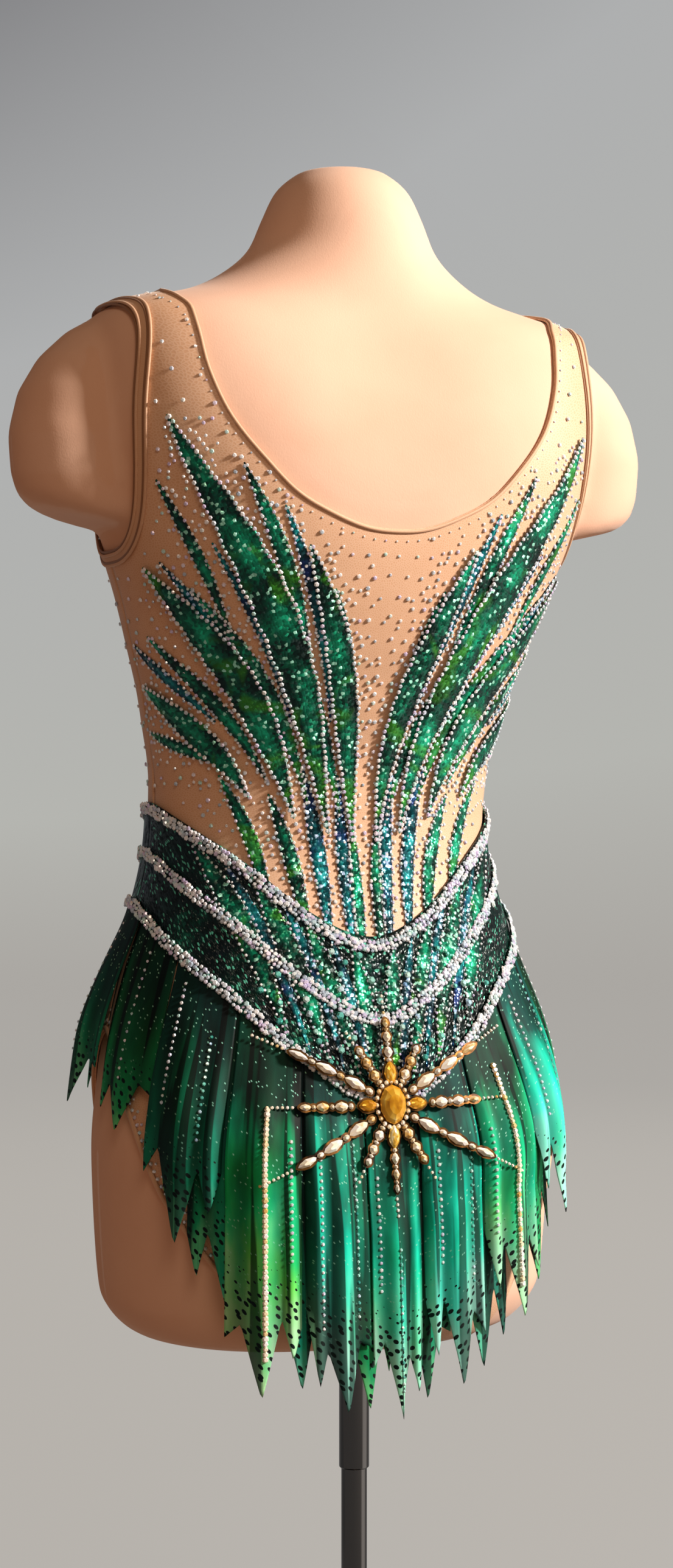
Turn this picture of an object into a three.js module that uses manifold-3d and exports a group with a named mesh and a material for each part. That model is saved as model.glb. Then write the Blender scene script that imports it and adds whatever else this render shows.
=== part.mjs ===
// A rhythmic gymnastics leotard on a limbless dress form with a pole and a round base.
// Millimetres, +Z up. The pole's axis is X = Y = 0 and the floor is Z = 0.
// The wearer faces +Y, so the scooped back and its long skirt face -Y, and +X is the wearer's right.
// Places on the body are a turn in degrees from the centre back, positive towards +X, and a level,
// which is the height at the centre back of the ring that passes through the place.
import * as THREE from "three";
import { mergeVertices } from "three/addons/utils/BufferGeometryUtils.js";
import Module from "manifold-3d";

const manifold = await Module();
manifold.setup();

// Driving sizes.
const BOTTOM = 240; // underside of the form
const BOTTOM_ROUND = 44; // radius of the form's lower edge
const ROUND_STEPS = 3;
const BACK_ROUND = 0.6; // share of the lower edge's radius behind, where the pole stands
const SEAM_GAP = 0.3; // between sewn pieces
const FORM_GAP = 0.6; // between the form and the cloth
const MESH_THICK = 1.2;
const TRIM_THICK = 1.0; // appliques and petals
const BAND_THICK = 1.3;
const TURN_STEP = 11.25;
const FULL_LEVEL = 345; // where the hips are widest; the skirt hangs straight below it
const FLARE = 0.05; // outward drift of the skirt for each millimetre that it drops
const RAMP = 90; // length over which the petals lift off the hips

// Rings of the form from the lower round to the top of the neck. `rise` is how much higher the
// ring is at the shoulder than at the centre back, and the powers say how square its outline is
// behind and in front.
const RINGS = [
  { level: 284, rise: 0, half: 151.5, back: 106, front: 95, centre: 58, power: 2.3, frontPower: 2.1 },
  { level: 360, rise: 0, half: 155.5, back: 111, front: 96, centre: 58, power: 2.3, frontPower: 2.1 },
  { level: 400, rise: 0, half: 152.5, back: 108, front: 97, centre: 58, power: 2.3, frontPower: 2.1 },
  { level: 440, rise: 0, half: 146.5, back: 101, front: 97, centre: 59, power: 2.25, frontPower: 2.1 },
  { level: 480, rise: 0, half: 136.5, back: 92, front: 96, centre: 61, power: 2.2, frontPower: 2.05 },
  { level: 515, rise: 0, half: 124.5, back: 84, front: 93, centre: 62, power: 2.2, frontPower: 2.05 },
  { level: 550, rise: 0, half: 115.5, back: 78, front: 88, centre: 63, power: 2.2, frontPower: 2.05 },
  { level: 585, rise: 0, half: 113, back: 75.5, front: 84, centre: 62, power: 2.2, frontPower: 2.05 },
  { level: 620, rise: 0, half: 116, back: 78, front: 84, centre: 59, power: 2.2, frontPower: 2.05 },
  { level: 655, rise: 0, half: 123.5, back: 85, front: 86, centre: 53, power: 2.2, frontPower: 2.05 },
  { level: 690, rise: 0, half: 134, back: 93, front: 89, centre: 46, power: 2.3, frontPower: 2.05 },
  { level: 722, rise: 0, half: 143.5, back: 99, front: 92, centre: 41, power: 2.4, frontPower: 2.1 },
  { level: 754, rise: 2, half: 156, back: 102, front: 93, centre: 36, power: 2.5, frontPower: 2.1 },
  { level: 785, rise: 7, half: 166, back: 102, front: 90, centre: 33, power: 2.65, frontPower: 2.2 },
  { level: 815, rise: 15, half: 172, back: 98, front: 84, centre: 31, power: 2.75, frontPower: 2.3 },
  { level: 840, rise: 26, half: 173, back: 91, front: 76, centre: 29, power: 2.75, frontPower: 2.4 },
  { level: 860, rise: 32, half: 169, back: 83, front: 68, centre: 27, power: 2.65, frontPower: 2.4 },
  { level: 876, rise: 27, half: 154, back: 76, front: 62, centre: 25, power: 2.5, frontPower: 2.3 },
  { level: 890, rise: 19, half: 132, back: 70, front: 58, centre: 23.5, power: 2.3, frontPower: 2.2 },
  { level: 904, rise: 12, half: 106, back: 64, front: 55, centre: 22.5, power: 2.15, frontPower: 2.1 },
  { level: 920, rise: 7, half: 84, back: 59, front: 52, centre: 21.5, power: 2.05, frontPower: 2.05 },
  { level: 941, rise: 3, half: 64, back: 55, front: 51, centre: 21, power: 2, frontPower: 2 },
  { level: 965, rise: 0, half: 53.5, back: 52, front: 50, centre: 21, power: 2, frontPower: 2 },
  { level: 985, rise: 0, half: 43.5, back: 43, front: 42, centre: 21, power: 2, frontPower: 2 },
  { level: 997, rise: 0, half: 29, back: 29, front: 29, centre: 21, power: 2, frontPower: 2 },
];
const CROWN = 1002; // top of the neck

// Soft swellings of the form: centre, size and how far each stands out.
const SWELLINGS = [
  { turn: 146, level: 742, wideTurn: 20, high: 42, out: 17 }, // bust
  { turn: 38, level: 820, wideTurn: 20, high: 40, out: 3 }, // shoulder blade
  { turn: 34, level: 352, wideTurn: 26, high: 55, out: 5 }, // seat
];

// Stub of the upper arm, as level sections stacked up it.
const STUB_Y = 30;
const STUB_SLOPE = 0.22; // its cut end rises outwards
const STUB_CUT = 770;
const STUB_SECTIONS = [
  { height: 765, x: 170, wide: 29, deep: 27 },
  { height: 767, x: 170, wide: 38, deep: 34 },
  { height: 773, x: 171, wide: 44, deep: 39 },
  { height: 786, x: 172, wide: 47, deep: 41 },
  { height: 820, x: 173, wide: 48, deep: 42 },
  { height: 846, x: 168, wide: 47, deep: 40 },
  { height: 868, x: 158, wide: 44, deep: 36 },
  { height: 885, x: 147, wide: 37, deep: 29 },
  { height: 895, x: 139, wide: 27, deep: 21 },
  { height: 899, x: 134, wide: 13, deep: 10 },
];
const STUB_SIDES = 18;

// Pole and base.
const POLE_RADIUS = 8.3;
const FIT = 0.3; // clearance of the pole, the collar and the socket
const COLLAR = { radius: 9.7, low: 159, high: 270 };
const SOCKET_DEPTH = 45;
const BASE_RADIUS = 140;
const BASE_RIM = 7;
const BOSS_RADIUS = 19;
const BOSS_TOP = 30;
const BORE_FLOOR = 4;
const ROUND_SIDES = 24;
const BASE_SIDES = 36;

// Edges of the garment.
const BACK_NECK = [
  { turn: 0, level: 759 },
  { turn: 12, level: 761 },
  { turn: 24, level: 769 },
  { turn: 34, level: 780 },
  { turn: 43, level: 799 },
  { turn: 50, level: 817 },
  { turn: 56, level: 838 },
  { turn: 60, level: 856 },
  { turn: 65, level: 872 },
  { turn: 76, level: 886 },
  { turn: 90, level: 895 },
];
const FRONT_NECK = [
  { turn: 90, level: 895 },
  { turn: 107, level: 882 },
  { turn: 122, level: 864 },
  { turn: 138, level: 846 },
  { turn: 158, level: 833 },
  { turn: 180, level: 829 },
];
const LEG_LEFT = [
  { turn: -190, level: 236 },
  { turn: -172, level: 246 },
  { turn: -150, level: 262 },
  { turn: -132, level: 292 },
  { turn: -116, level: 345 },
  { turn: -104, level: 400 },
  { turn: -90, level: 440 },
  { turn: -73, level: 388 },
  { turn: -62, level: 337 },
  { turn: -46, level: 286 },
  { turn: -26, level: 258 },
  { turn: -6, level: 246 },
  { turn: 11, level: 236 },
];
const LEG_RIGHT = [
  { turn: 42, level: 236 },
  { turn: 47, level: 266 },
  { turn: 54, level: 302 },
  { turn: 62, level: 337 },
  { turn: 73, level: 388 },
  { turn: 90, level: 440 },
  { turn: 104, level: 400 },
  { turn: 116, level: 345 },
  { turn: 126, level: 300 },
  { turn: 134, level: 264 },
  { turn: 140, level: 236 },
];
const ARMHOLE = { middle: 88.5, turns: 20, lowLevel: 742, highLevel: 872, square: 0.72 };
const GUSSET = { backFrom: 12, backTo: 41, frontFrom: 169, frontTo: 141 }; // turns; it passes beside the pole

// The yoke's upper edge and the skirt's seam, the same on both sides.
const YOKE_TOP = [
  { turn: 0, level: 502 },
  { turn: 25, level: 517 },
  { turn: 60, level: 562 },
  { turn: 90, level: 588 },
  { turn: 120, level: 576 },
  { turn: 150, level: 548 },
  { turn: 180, level: 532 },
];
const SKIRT_SEAM = [
  { turn: 0, level: 398 },
  { turn: 25, level: 424 },
  { turn: 60, level: 482 },
  { turn: 90, level: 520 },
  { turn: 120, level: 516 },
  { turn: 150, level: 504 },
  { turn: 180, level: 497 },
];
const BAND_WIDTH = 7;
const BAND_SHARES = { upper: 0.06, middle: 0.5, seam: 1 }; // share of the way down the yoke

// Long leaves on the back, mirrored.
const LEAVES = [
  { name: "inner", root: { turn: 6, level: 562 }, tip: { turn: 30, level: 748 }, bow: 4, width: 17 },
  { name: "tall", root: { turn: 18, level: 568 }, tip: { turn: 63, level: 814 }, bow: 4, width: 25 },
  { name: "armpit", root: { turn: 33, level: 578 }, tip: { turn: 74, level: 736 }, bow: 4, width: 22 },
  { name: "side", root: { turn: 50, level: 592 }, tip: { turn: 86, level: 664 }, bow: 4, width: 17 },
];

// Tips of the skirt's petals, from the wearer's left to right; each layer hangs over the one below.
const BACK_REACH = 66;
const OUTER_TIPS = [318, 226, 215, 207, 225, 262, 320];
const INNER_TIPS = [345, 278, 228, 213, 216, 232, 280, 345];
const FRONT_TIPS = [381, 392, 385, 396, 386, 400];
const PETAL_LAP = 1.2; // degrees by which a front petal passes its neighbour
const PETAL_GAP = 0.8; // degrees between petals of one layer
const PETAL_TAPER = 0.62; // share of its length where a petal starts to narrow
const LAYERS = [
  { rest: 2.6, lift: 3.2, bulge: 3 },
  { rest: 4.1, lift: 7, bulge: 5 },
];

const onYoke = 5.2;
const onPetals = LAYERS[1].rest + TRIM_THICK + 1;
const onBand = onPetals + 1.3;

// Sunburst of beaded rays over the skirt's seam at the centre back.
const BURST = { level: 398, rays: 12, wide: 78, high: 52, shorter: 0.72, start: 13, beads: 3, thick: 1.6 };
const STONE = { wide: 19, high: 25, thick: 6 };

const radians = THREE.MathUtils.degToRad;
const smooth = THREE.MathUtils.smoothstep;
const mix = THREE.MathUtils.lerp;

// Rings with the lower round in front, as quarter-circle steps down to the flat underside.
function allRings() {
  const first = RINGS[0];
  const rounds = [];
  for (let k = 0; k < ROUND_STEPS; k++) {
    const angle = (k / ROUND_STEPS) * (Math.PI / 2);
    const inset = BOTTOM_ROUND * (1 - Math.sin(angle));
    rounds.push({
      ...first,
      level: BOTTOM + BOTTOM_ROUND * (1 - Math.cos(angle)),
      half: first.half - inset,
      back: first.back - inset * BACK_ROUND,
      front: first.front - inset,
    });
  }
  return [...rounds, ...RINGS];
}
const rings = allRings();

// A named column of the rings as a smooth curve over the ring number.
function column(name) {
  const curve = new THREE.SplineCurve(rings.map((ring, i) => new THREE.Vector2(i, ring[name])));
  return (ring) => curve.getPoint(THREE.MathUtils.clamp(ring / (rings.length - 1), 0, 1)).y;
}
const names = ["level", "rise", "half", "back", "front", "centre", "power", "frontPower"];
const shape = Object.fromEntries(names.map((name) => [name, column(name)]));

// The ring number at a level, by halving.
function ringAt(level) {
  let low = 0;
  let high = rings.length - 1;
  for (let step = 0; step < 40; step++) {
    const middle = (low + high) / 2;
    if (shape.level(middle) < level) low = middle;
    else high = middle;
  }
  return (low + high) / 2;
}

// A turn from the centre back, without its side, from 0 to 180.
function fromBack(turn) {
  return Math.abs(THREE.MathUtils.euclideanModulo(turn + 180, 360) - 180);
}

// How far the swellings stand out at a place.
function swelling(turn, level) {
  const away = fromBack(turn);
  return SWELLINGS.reduce((sum, s) => {
    const across = (away - s.turn) / s.wideTurn;
    const up = (level - s.level) / s.high;
    return sum + s.out * Math.exp(-across * across - up * up);
  }, 0);
}

// A point of the form's skin.
function skin(turn, ring) {
  const angle = radians(turn);
  const across = Math.sin(angle);
  const along = -Math.cos(angle);
  const depth = along < 0 ? shape.back(ring) : shape.front(ring);
  const power = along < 0 ? shape.power(ring) : shape.frontPower(ring);
  const sum = Math.abs(across / shape.half(ring)) ** power + Math.abs(along / depth) ** power;
  const level = shape.level(ring);
  const radius = sum ** (-1 / power) + swelling(turn, level);
  return new THREE.Vector3(
    radius * across,
    shape.centre(ring) + radius * along,
    level + shape.rise(ring) * across * across,
  );
}

// The outward direction of the skin.
function outward(turn, ring) {
  const step = 0.02;
  const ahead = skin(turn + 1, ring).sub(skin(turn - 1, ring));
  const up = skin(turn, Math.min(ring + step, rings.length - 1)).sub(skin(turn, Math.max(ring - step, 0)));
  return ahead.cross(up).normalize();
}

// A point at a distance outside the skin.
function lifted(turn, level, distance) {
  const ring = ringAt(level);
  return skin(turn, ring).addScaledVector(outward(turn, ring), distance);
}

// A point of hanging cloth: on the body down to the widest level, then straight down.
function hung(turn, height, distance) {
  if (height >= FULL_LEVEL) return lifted(turn, height, distance);
  const drop = FULL_LEVEL - height;
  const point = lifted(turn, FULL_LEVEL, distance + FLARE * drop);
  return point.setZ(point.z - drop);
}

// A table of edge points as a smooth level over the turn. Tables from 0 to 180 serve both sides.
function edge(table) {
  const mirrored = table[0].turn === 0;
  return (turn) => {
    const wanted = mirrored ? Math.abs(turn) : turn;
    const last = table.length - 1;
    const after = table.findIndex((row) => row.turn > wanted);
    if (after === 0) return table[0].level;
    const i = after < 0 ? last - 1 : after - 1;
    const share = THREE.MathUtils.clamp((wanted - table[i].turn) / (table[i + 1].turn - table[i].turn), 0, 1);
    const slope = (a, b) => (table[b].level - table[a].level) / (table[b].turn - table[a].turn);
    const width = table[i + 1].turn - table[i].turn;
    const start = i === 0 ? (mirrored ? 0 : slope(0, 1)) : slope(i - 1, i + 1);
    const end = i + 1 === last ? (table[last].turn === 180 ? 0 : slope(last - 1, last)) : slope(i, i + 2);
    const s2 = share * share;
    const s3 = s2 * share;
    return (
      (2 * s3 - 3 * s2 + 1) * table[i].level +
      (s3 - 2 * s2 + share) * width * start +
      (3 * s2 - 2 * s3) * table[i + 1].level +
      (s3 - s2) * width * end
    );
  };
}
const neckTable = [...BACK_NECK, ...FRONT_NECK.slice(1)];
const neckLevel = edge(neckTable);
const yokeTop = edge(YOKE_TOP);
const skirtSeam = edge(SKIRT_SEAM);

// A geometry from points and triangles, turned right side out.
function geometryOf(points, triangles) {
  let volume = 0;
  for (const [a, b, c] of triangles) {
    volume += points[a].dot(new THREE.Vector3().crossVectors(points[b], points[c]));
  }
  const order = volume < 0 ? triangles.map(([a, b, c]) => [a, c, b]) : triangles;
  const geometry = new THREE.BufferGeometry().setFromPoints(points);
  return geometry.setIndex(order.flat());
}

// A closed wall. `place(u, v, side)` gives its points, with u and v from 0 to 1 and side 0 inside
// and 1 outside. A looped wall joins its last column to its first.
function wall(place, columns, rows, looped = false) {
  const points = [];
  const across = looped ? columns : columns + 1;
  const index = (i, j, side) => (side * (rows + 1) + j) * across + (i % across);
  for (let side = 0; side < 2; side++) {
    for (let j = 0; j <= rows; j++) {
      for (let i = 0; i < across; i++) points.push(place(i / columns, j / rows, side));
    }
  }
  const triangles = [];
  const quad = (a, b, c, d) => triangles.push([a, b, c], [a, c, d]);
  for (let i = 0; i < columns; i++) {
    for (let j = 0; j < rows; j++) {
      quad(index(i, j, 1), index(i + 1, j, 1), index(i + 1, j + 1, 1), index(i, j + 1, 1));
      quad(index(i, j, 0), index(i, j + 1, 0), index(i + 1, j + 1, 0), index(i + 1, j, 0));
    }
    quad(index(i, 0, 0), index(i + 1, 0, 0), index(i + 1, 0, 1), index(i, 0, 1));
    quad(index(i, rows, 1), index(i + 1, rows, 1), index(i + 1, rows, 0), index(i, rows, 0));
  }
  if (!looped) {
    for (let j = 0; j < rows; j++) {
      quad(index(0, j, 1), index(0, j + 1, 1), index(0, j + 1, 0), index(0, j, 0));
      quad(index(columns, j, 0), index(columns, j + 1, 0), index(columns, j + 1, 1), index(columns, j, 1));
    }
  }
  return geometryOf(points, triangles);
}

// The place that lies a distance to the side of a path on the body, in millimetres.
function beside(path, t, aside) {
  const step = 0.004;
  const here = path(t);
  const before = path(t - step);
  const after = path(t + step);
  const ring = ringAt(here.level);
  const perTurn = skin(here.turn + 1, ring).distanceTo(skin(here.turn - 1, ring)) / 2;
  const perLevel = lifted(here.turn, here.level + 2, 0).distanceTo(lifted(here.turn, here.level - 2, 0)) / 4;
  const along = new THREE.Vector2(
    (after.turn - before.turn) * perTurn,
    (after.level - before.level) * perLevel,
  ).normalize();
  return {
    turn: here.turn + (aside * along.y) / perTurn,
    level: here.level - (aside * along.x) / perLevel,
    distance: here.distance,
  };
}

// A strip that lies on the body along a path. `half` and `thick` give its half width and its
// thickness at a share of its length and, for the thickness, of its width.
function strip(path, steps, half, thick, { columns = 1, looped = false } = {}) {
  const place = (u, v, side) => {
    const { turn, level, distance } = beside(path, u, (v * 2 - 1) * half(u));
    return lifted(turn, level, distance + side * thick(u, v));
  };
  return wall(place, steps, columns, looped);
}

// Manifold solids for cutting and joining.
function solidOf(geometry) {
  const bare = geometry.clone();
  bare.deleteAttribute("normal");
  bare.deleteAttribute("uv");
  const merged = mergeVertices(bare, 1e-4);
  const vertProperties = new Float32Array(merged.getAttribute("position").array);
  const triVerts = new Uint32Array(merged.getIndex().array);
  return new manifold.Manifold(new manifold.Mesh({ numProp: 3, vertProperties, triVerts }));
}

// The largest body of a solid, without the crumbs that a cut leaves.
function geometryFrom(solid) {
  const bodies = solid.decompose().sort((a, b) => b.volume() - a.volume());
  const mesh = bodies[0].getMesh();
  const geometry = new THREE.BufferGeometry();
  geometry.setAttribute("position", new THREE.BufferAttribute(new Float32Array(mesh.vertProperties), 3));
  return geometry.setIndex([...mesh.triVerts]);
}

// A closed skin of stacked loops, with a point at each end.
function stacked(loops, bottom, top) {
  const sides = loops[0].length;
  const points = [...loops.flat(), bottom, top];
  const triangles = [];
  for (let j = 0; j + 1 < loops.length; j++) {
    for (let i = 0; i < sides; i++) {
      const a = j * sides + i;
      const b = j * sides + ((i + 1) % sides);
      triangles.push([a, b, b + sides], [a, b + sides, a + sides]);
    }
  }
  for (let i = 0; i < sides; i++) {
    const next = (i + 1) % sides;
    const high = (loops.length - 1) * sides;
    triangles.push([next, i, points.length - 2], [high + i, high + next, points.length - 1]);
  }
  return geometryOf(points, triangles);
}

const columnsRound = 360 / TURN_STEP;
const latticeTurns = Array.from({ length: columnsRound }, (_, i) => -180 + i * TURN_STEP);

// The form: torso and neck, with an arm stub on each side and a socket for the pole.
function torso() {
  const loops = rings.map((_, ring) => latticeTurns.map((turn) => skin(turn, ring)));
  const centre = shape.centre(0);
  return stacked(loops, new THREE.Vector3(0, centre, BOTTOM), new THREE.Vector3(0, rings.at(-1).centre, CROWN));
}

function armStub(side) {
  const loops = STUB_SECTIONS.map(({ height, x, wide, deep }) =>
    Array.from({ length: STUB_SIDES }, (_, i) => {
      const angle = (i / STUB_SIDES) * 2 * Math.PI;
      const out = wide * Math.cos(angle);
      const slope = STUB_SLOPE * out * (1 - smooth(height, STUB_CUT, STUB_CUT + 50));
      return new THREE.Vector3(side * (x + out), STUB_Y + deep * Math.sin(angle), height + slope);
    }),
  );
  const ends = [STUB_SECTIONS[0], STUB_SECTIONS.at(-1)];
  const [low, high] = ends.map(({ x, height }) => new THREE.Vector3(side * x, STUB_Y, height));
  return stacked(loops, low, high.setZ(high.z + 1));
}

function dressForm() {
  const radius = COLLAR.radius + FIT;
  const socket = new THREE.CylinderGeometry(radius, radius, 2 * SOCKET_DEPTH, ROUND_SIDES);
  socket.rotateX(Math.PI / 2).translate(0, 0, BOTTOM);
  const body = solidOf(torso()).add(solidOf(armStub(1))).add(solidOf(armStub(-1)));
  return geometryFrom(body.subtract(solidOf(socket)));
}

function pole() {
  const low = BORE_FLOOR + FIT;
  const high = BOTTOM + SOCKET_DEPTH - FIT;
  const tube = new THREE.CylinderGeometry(POLE_RADIUS, POLE_RADIUS, high - low, ROUND_SIDES);
  return tube.rotateX(Math.PI / 2).translate(0, 0, (low + high) / 2);
}

// The collar that holds the pole in the form.
function collar() {
  const inner = POLE_RADIUS + FIT;
  const outline = [
    [inner, COLLAR.low],
    [COLLAR.radius, COLLAR.low],
    [COLLAR.radius, COLLAR.high],
    [inner, COLLAR.high],
    [inner, COLLAR.low],
  ];
  const profile = outline.map(([radius, height]) => new THREE.Vector2(radius, height));
  return new THREE.LatheGeometry(profile, ROUND_SIDES).rotateX(Math.PI / 2);
}

// The base: a low dome with a boss, whose blind bore takes the pole.
function base() {
  const bore = POLE_RADIUS + FIT;
  const outline = [
    [0, 0],
    [BASE_RADIUS - 1, 0],
    [BASE_RADIUS, 1],
    [BASE_RADIUS, BASE_RIM - 2],
    [BASE_RADIUS - 2, BASE_RIM],
    [BASE_RADIUS * 0.5, BASE_RIM + 4],
    [BOSS_RADIUS + 3, BASE_RIM + 6],
    [BOSS_RADIUS, BASE_RIM + 9],
    [BOSS_RADIUS, BOSS_TOP - 2],
    [BOSS_RADIUS - 2, BOSS_TOP],
    [bore, BOSS_TOP],
    [bore, BORE_FLOOR],
    [0, BORE_FLOOR],
  ];
  const profile = outline.map(([radius, height]) => new THREE.Vector2(radius, height));
  const turned = new THREE.LatheGeometry(profile, BASE_SIDES);
  return turned.rotateX(Math.PI / 2);
}

// Half of the mesh body suit on the form's own lattice, before its openings are cut.
const LAST_CLOTH_RING = rings.length - 4;
function halfSuit(from) {
  const columns = columnsRound / 2;
  const nudge = SEAM_GAP / 2 / 2.6; // degrees at the side seam
  const place = (u, v, side) => {
    const ends = u === 0 ? nudge : u === 1 ? -nudge : 0;
    const turn = from + u * 180 + ends;
    const ring = v * LAST_CLOTH_RING;
    const distance = FORM_GAP + side * MESH_THICK;
    return skin(turn, ring).addScaledVector(outward(turn, ring), distance);
  };
  return solidOf(wall(place, columns, LAST_CLOTH_RING));
}

const CUT_IN = -4;
const CUT_OUT = 9;
const cutDepth = (side) => (side ? CUT_OUT : CUT_IN);

// Everything above the neckline.
function neckCut() {
  const place = (u, v, side) => {
    const turn = -180 + u * 360;
    const low = ringAt(neckLevel(Math.abs(turn)));
    const ring = mix(low, rings.length - 2, v);
    return skin(turn, ring).addScaledVector(outward(turn, ring), cutDepth(side));
  };
  return solidOf(wall(place, 40, 3, true));
}

// Everything below a leg edge, along the skin and round to the flat underside.
function legCut(table) {
  const level = edge(table);
  const from = table[0].turn;
  const to = table.at(-1).turn;
  const rows = 7;
  const place = (u, v, side) => {
    const turn = mix(from, to, u);
    const top = ringAt(Math.max(level(turn), BOTTOM + 0.01));
    const share = Math.min(1, (v * rows) / (rows - 1));
    const ring = top * (1 - share);
    const point = skin(turn, ring).addScaledVector(outward(turn, ring), cutDepth(side));
    const inward = v === 1 ? 0.15 : 0;
    return point.lerp(new THREE.Vector3(0, shape.centre(0), point.z), inward);
  };
  return solidOf(wall(place, 22, rows));
}

// A place on the armhole's edge, a rounded oblong.
function armholePath(side) {
  return (t) => {
    const angle = t * 2 * Math.PI;
    const low = ringAt(ARMHOLE.lowLevel);
    const high = ringAt(ARMHOLE.highLevel);
    const squared = (value) => Math.sign(value) * Math.abs(value) ** ARMHOLE.square;
    const ring = (low + high) / 2 + (squared(Math.sin(angle)) * (high - low)) / 2;
    const turn = side * (ARMHOLE.middle + ARMHOLE.turns * squared(Math.cos(angle)));
    return { turn, level: shape.level(ring) };
  };
}

function armCut(side) {
  const path = armholePath(side);
  const loop = Array.from({ length: 32 }, (_, i) => path(i / 32));
  const middle = { turn: side * ARMHOLE.middle, level: (ARMHOLE.lowLevel + ARMHOLE.highLevel) / 2 };
  const at = (place, k) => lifted(place.turn, place.level, cutDepth(k));
  const spread = (share, k) =>
    loop.map((place) => at({ turn: mix(middle.turn, place.turn, share), level: mix(middle.level, place.level, share) }, k));
  const loops = [spread(0.5, 0), spread(1, 0), spread(1, 1), spread(0.5, 1)];
  return solidOf(stacked(loops, at(middle, 0), at(middle, 1)));
}

function suitPanels() {
  const cuts = [neckCut(), legCut(LEG_LEFT), legCut(LEG_RIGHT), armCut(1), armCut(-1)];
  const cut = (half) => cuts.reduce((left, tool) => left.subtract(tool), half);
  return { back: geometryFrom(cut(halfSuit(-90))), front: geometryFrom(cut(halfSuit(90))) };
}

// The gusset under the form, beside the pole, from the back panel's end to the front panel's.
function gusset() {
  const end = (turn) => {
    const point = skin(turn, 0).setZ(BOTTOM);
    const inward = new THREE.Vector3(0, shape.centre(0), BOTTOM).sub(point).normalize();
    return point.addScaledVector(inward, SEAM_GAP * 2);
  };
  const place = (u, v, side) => {
    const back = end(mix(GUSSET.backFrom, GUSSET.backTo, u));
    const front = end(mix(GUSSET.frontFrom, GUSSET.frontTo, u));
    return back.lerp(front, v).setZ(BOTTOM - FORM_GAP - side * MESH_THICK);
  };
  return wall(place, 4, 4);
}

// Bindings over the neck, armhole and leg edges. The armhole's is doubled, with a dip between.
const BINDING_HALF = 2.4;
const BINDING_THICK = 1.4;
const ARM_BINDING = { half: 4.4, ridge: 1.8, dip: 0.9 };
const ON_SUIT = FORM_GAP + MESH_THICK + SEAM_GAP;
const ON_EDGE = ON_SUIT + 0.7; // under bindings
const ON_TRIMMED = ON_SUIT + 0.9; // under appliques, over the mesh's flat facets

function neckBinding() {
  const path = (t) => {
    const turn = -180 + t * 360;
    return { turn, level: neckLevel(fromBack(turn)) - 1.5, distance: ON_EDGE };
  };
  return strip(path, 56, () => BINDING_HALF, () => BINDING_THICK, { looped: true });
}

function armBinding(side) {
  const hole = armholePath(side);
  const path = (t) => ({ ...hole(t), distance: ON_EDGE });
  const thick = (u, v) => (v === 0.5 ? ARM_BINDING.dip : ARM_BINDING.ridge);
  return strip(path, 28, () => ARM_BINDING.half, thick, { columns: 4, looped: true });
}

function legBinding(table) {
  const level = edge(table);
  const trim = 14; // degrees left off at each end, where the edge turns under the form
  const from = table[0].turn + trim;
  const to = table.at(-1).turn - trim;
  const path = (t) => {
    const turn = mix(from, to, t);
    return { turn, level: level(turn) + 2, distance: ON_EDGE };
  };
  return strip(path, 24, () => BINDING_HALF, () => BINDING_THICK);
}

// The dark yoke over the hips, one piece for the back and one for the front.
const sideNudge = 0.1;
function yoke(from) {
  const place = (u, v, side) => {
    const turn = from + sideNudge + u * (180 - 2 * sideNudge);
    const wrapped = fromBack(turn);
    const level = mix(yokeTop(wrapped), skirtSeam(wrapped) + 1, v);
    return lifted(turn, level, ON_TRIMMED + side * TRIM_THICK);
  };
  return wall(place, 16, 5);
}

// Bands of stones across the yoke.
function band(from, share, distance) {
  const path = (t) => {
    const turn = from + sideNudge + t * (180 - 2 * sideNudge);
    const wrapped = fromBack(turn);
    return { turn, level: mix(yokeTop(wrapped), skirtSeam(wrapped), share), distance };
  };
  return strip(path, 20, () => BAND_WIDTH / 2, () => BAND_THICK);
}

// A pointed leaf: its centre line is bowed, and its half width follows a sine.
function leaf({ root, tip, bow, width }, side) {
  const path = (t) => ({
    turn: side * (mix(root.turn, tip.turn, t) - bow * Math.sin(Math.PI * t)),
    level: mix(root.level, tip.level, t),
    distance: ON_TRIMMED,
  });
  const point = 0.5;
  const half = (t) => point + (width / 2 - point) * Math.sin(Math.PI * t ** 1.25) ** 0.9;
  return strip(path, 10, half, () => TRIM_THICK, { columns: 2 });
}

// How far the petals have lifted off at a place.
function lift(turn, height) {
  const wrapped = fromBack(turn);
  return smooth(skirtSeam(wrapped) - height, 0, RAMP);
}

// A petal of the skirt, full width at the seam and pointed at its tip.
function petal(centre, halfTurn, tip, layer) {
  const { rest, lift: rise, bulge } = LAYERS[layer];
  const place = (u, v, side) => {
    const narrow = 1 - 0.96 * smooth(v, PETAL_TAPER, 1.25) / smooth(1, PETAL_TAPER, 1.25);
    const across = u * 2 - 1;
    const turn = centre + across * halfTurn * Math.max(narrow, 0.04);
    const wrapped = fromBack(turn);
    const height = mix(skirtSeam(wrapped) - 0.3, tip, v);
    const off = lift(turn, height);
    const distance = rest + off * rise + off * bulge * (1 - across * across);
    return hung(turn, height, distance + side * TRIM_THICK);
  };
  return wall(place, 4, 6);
}

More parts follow.
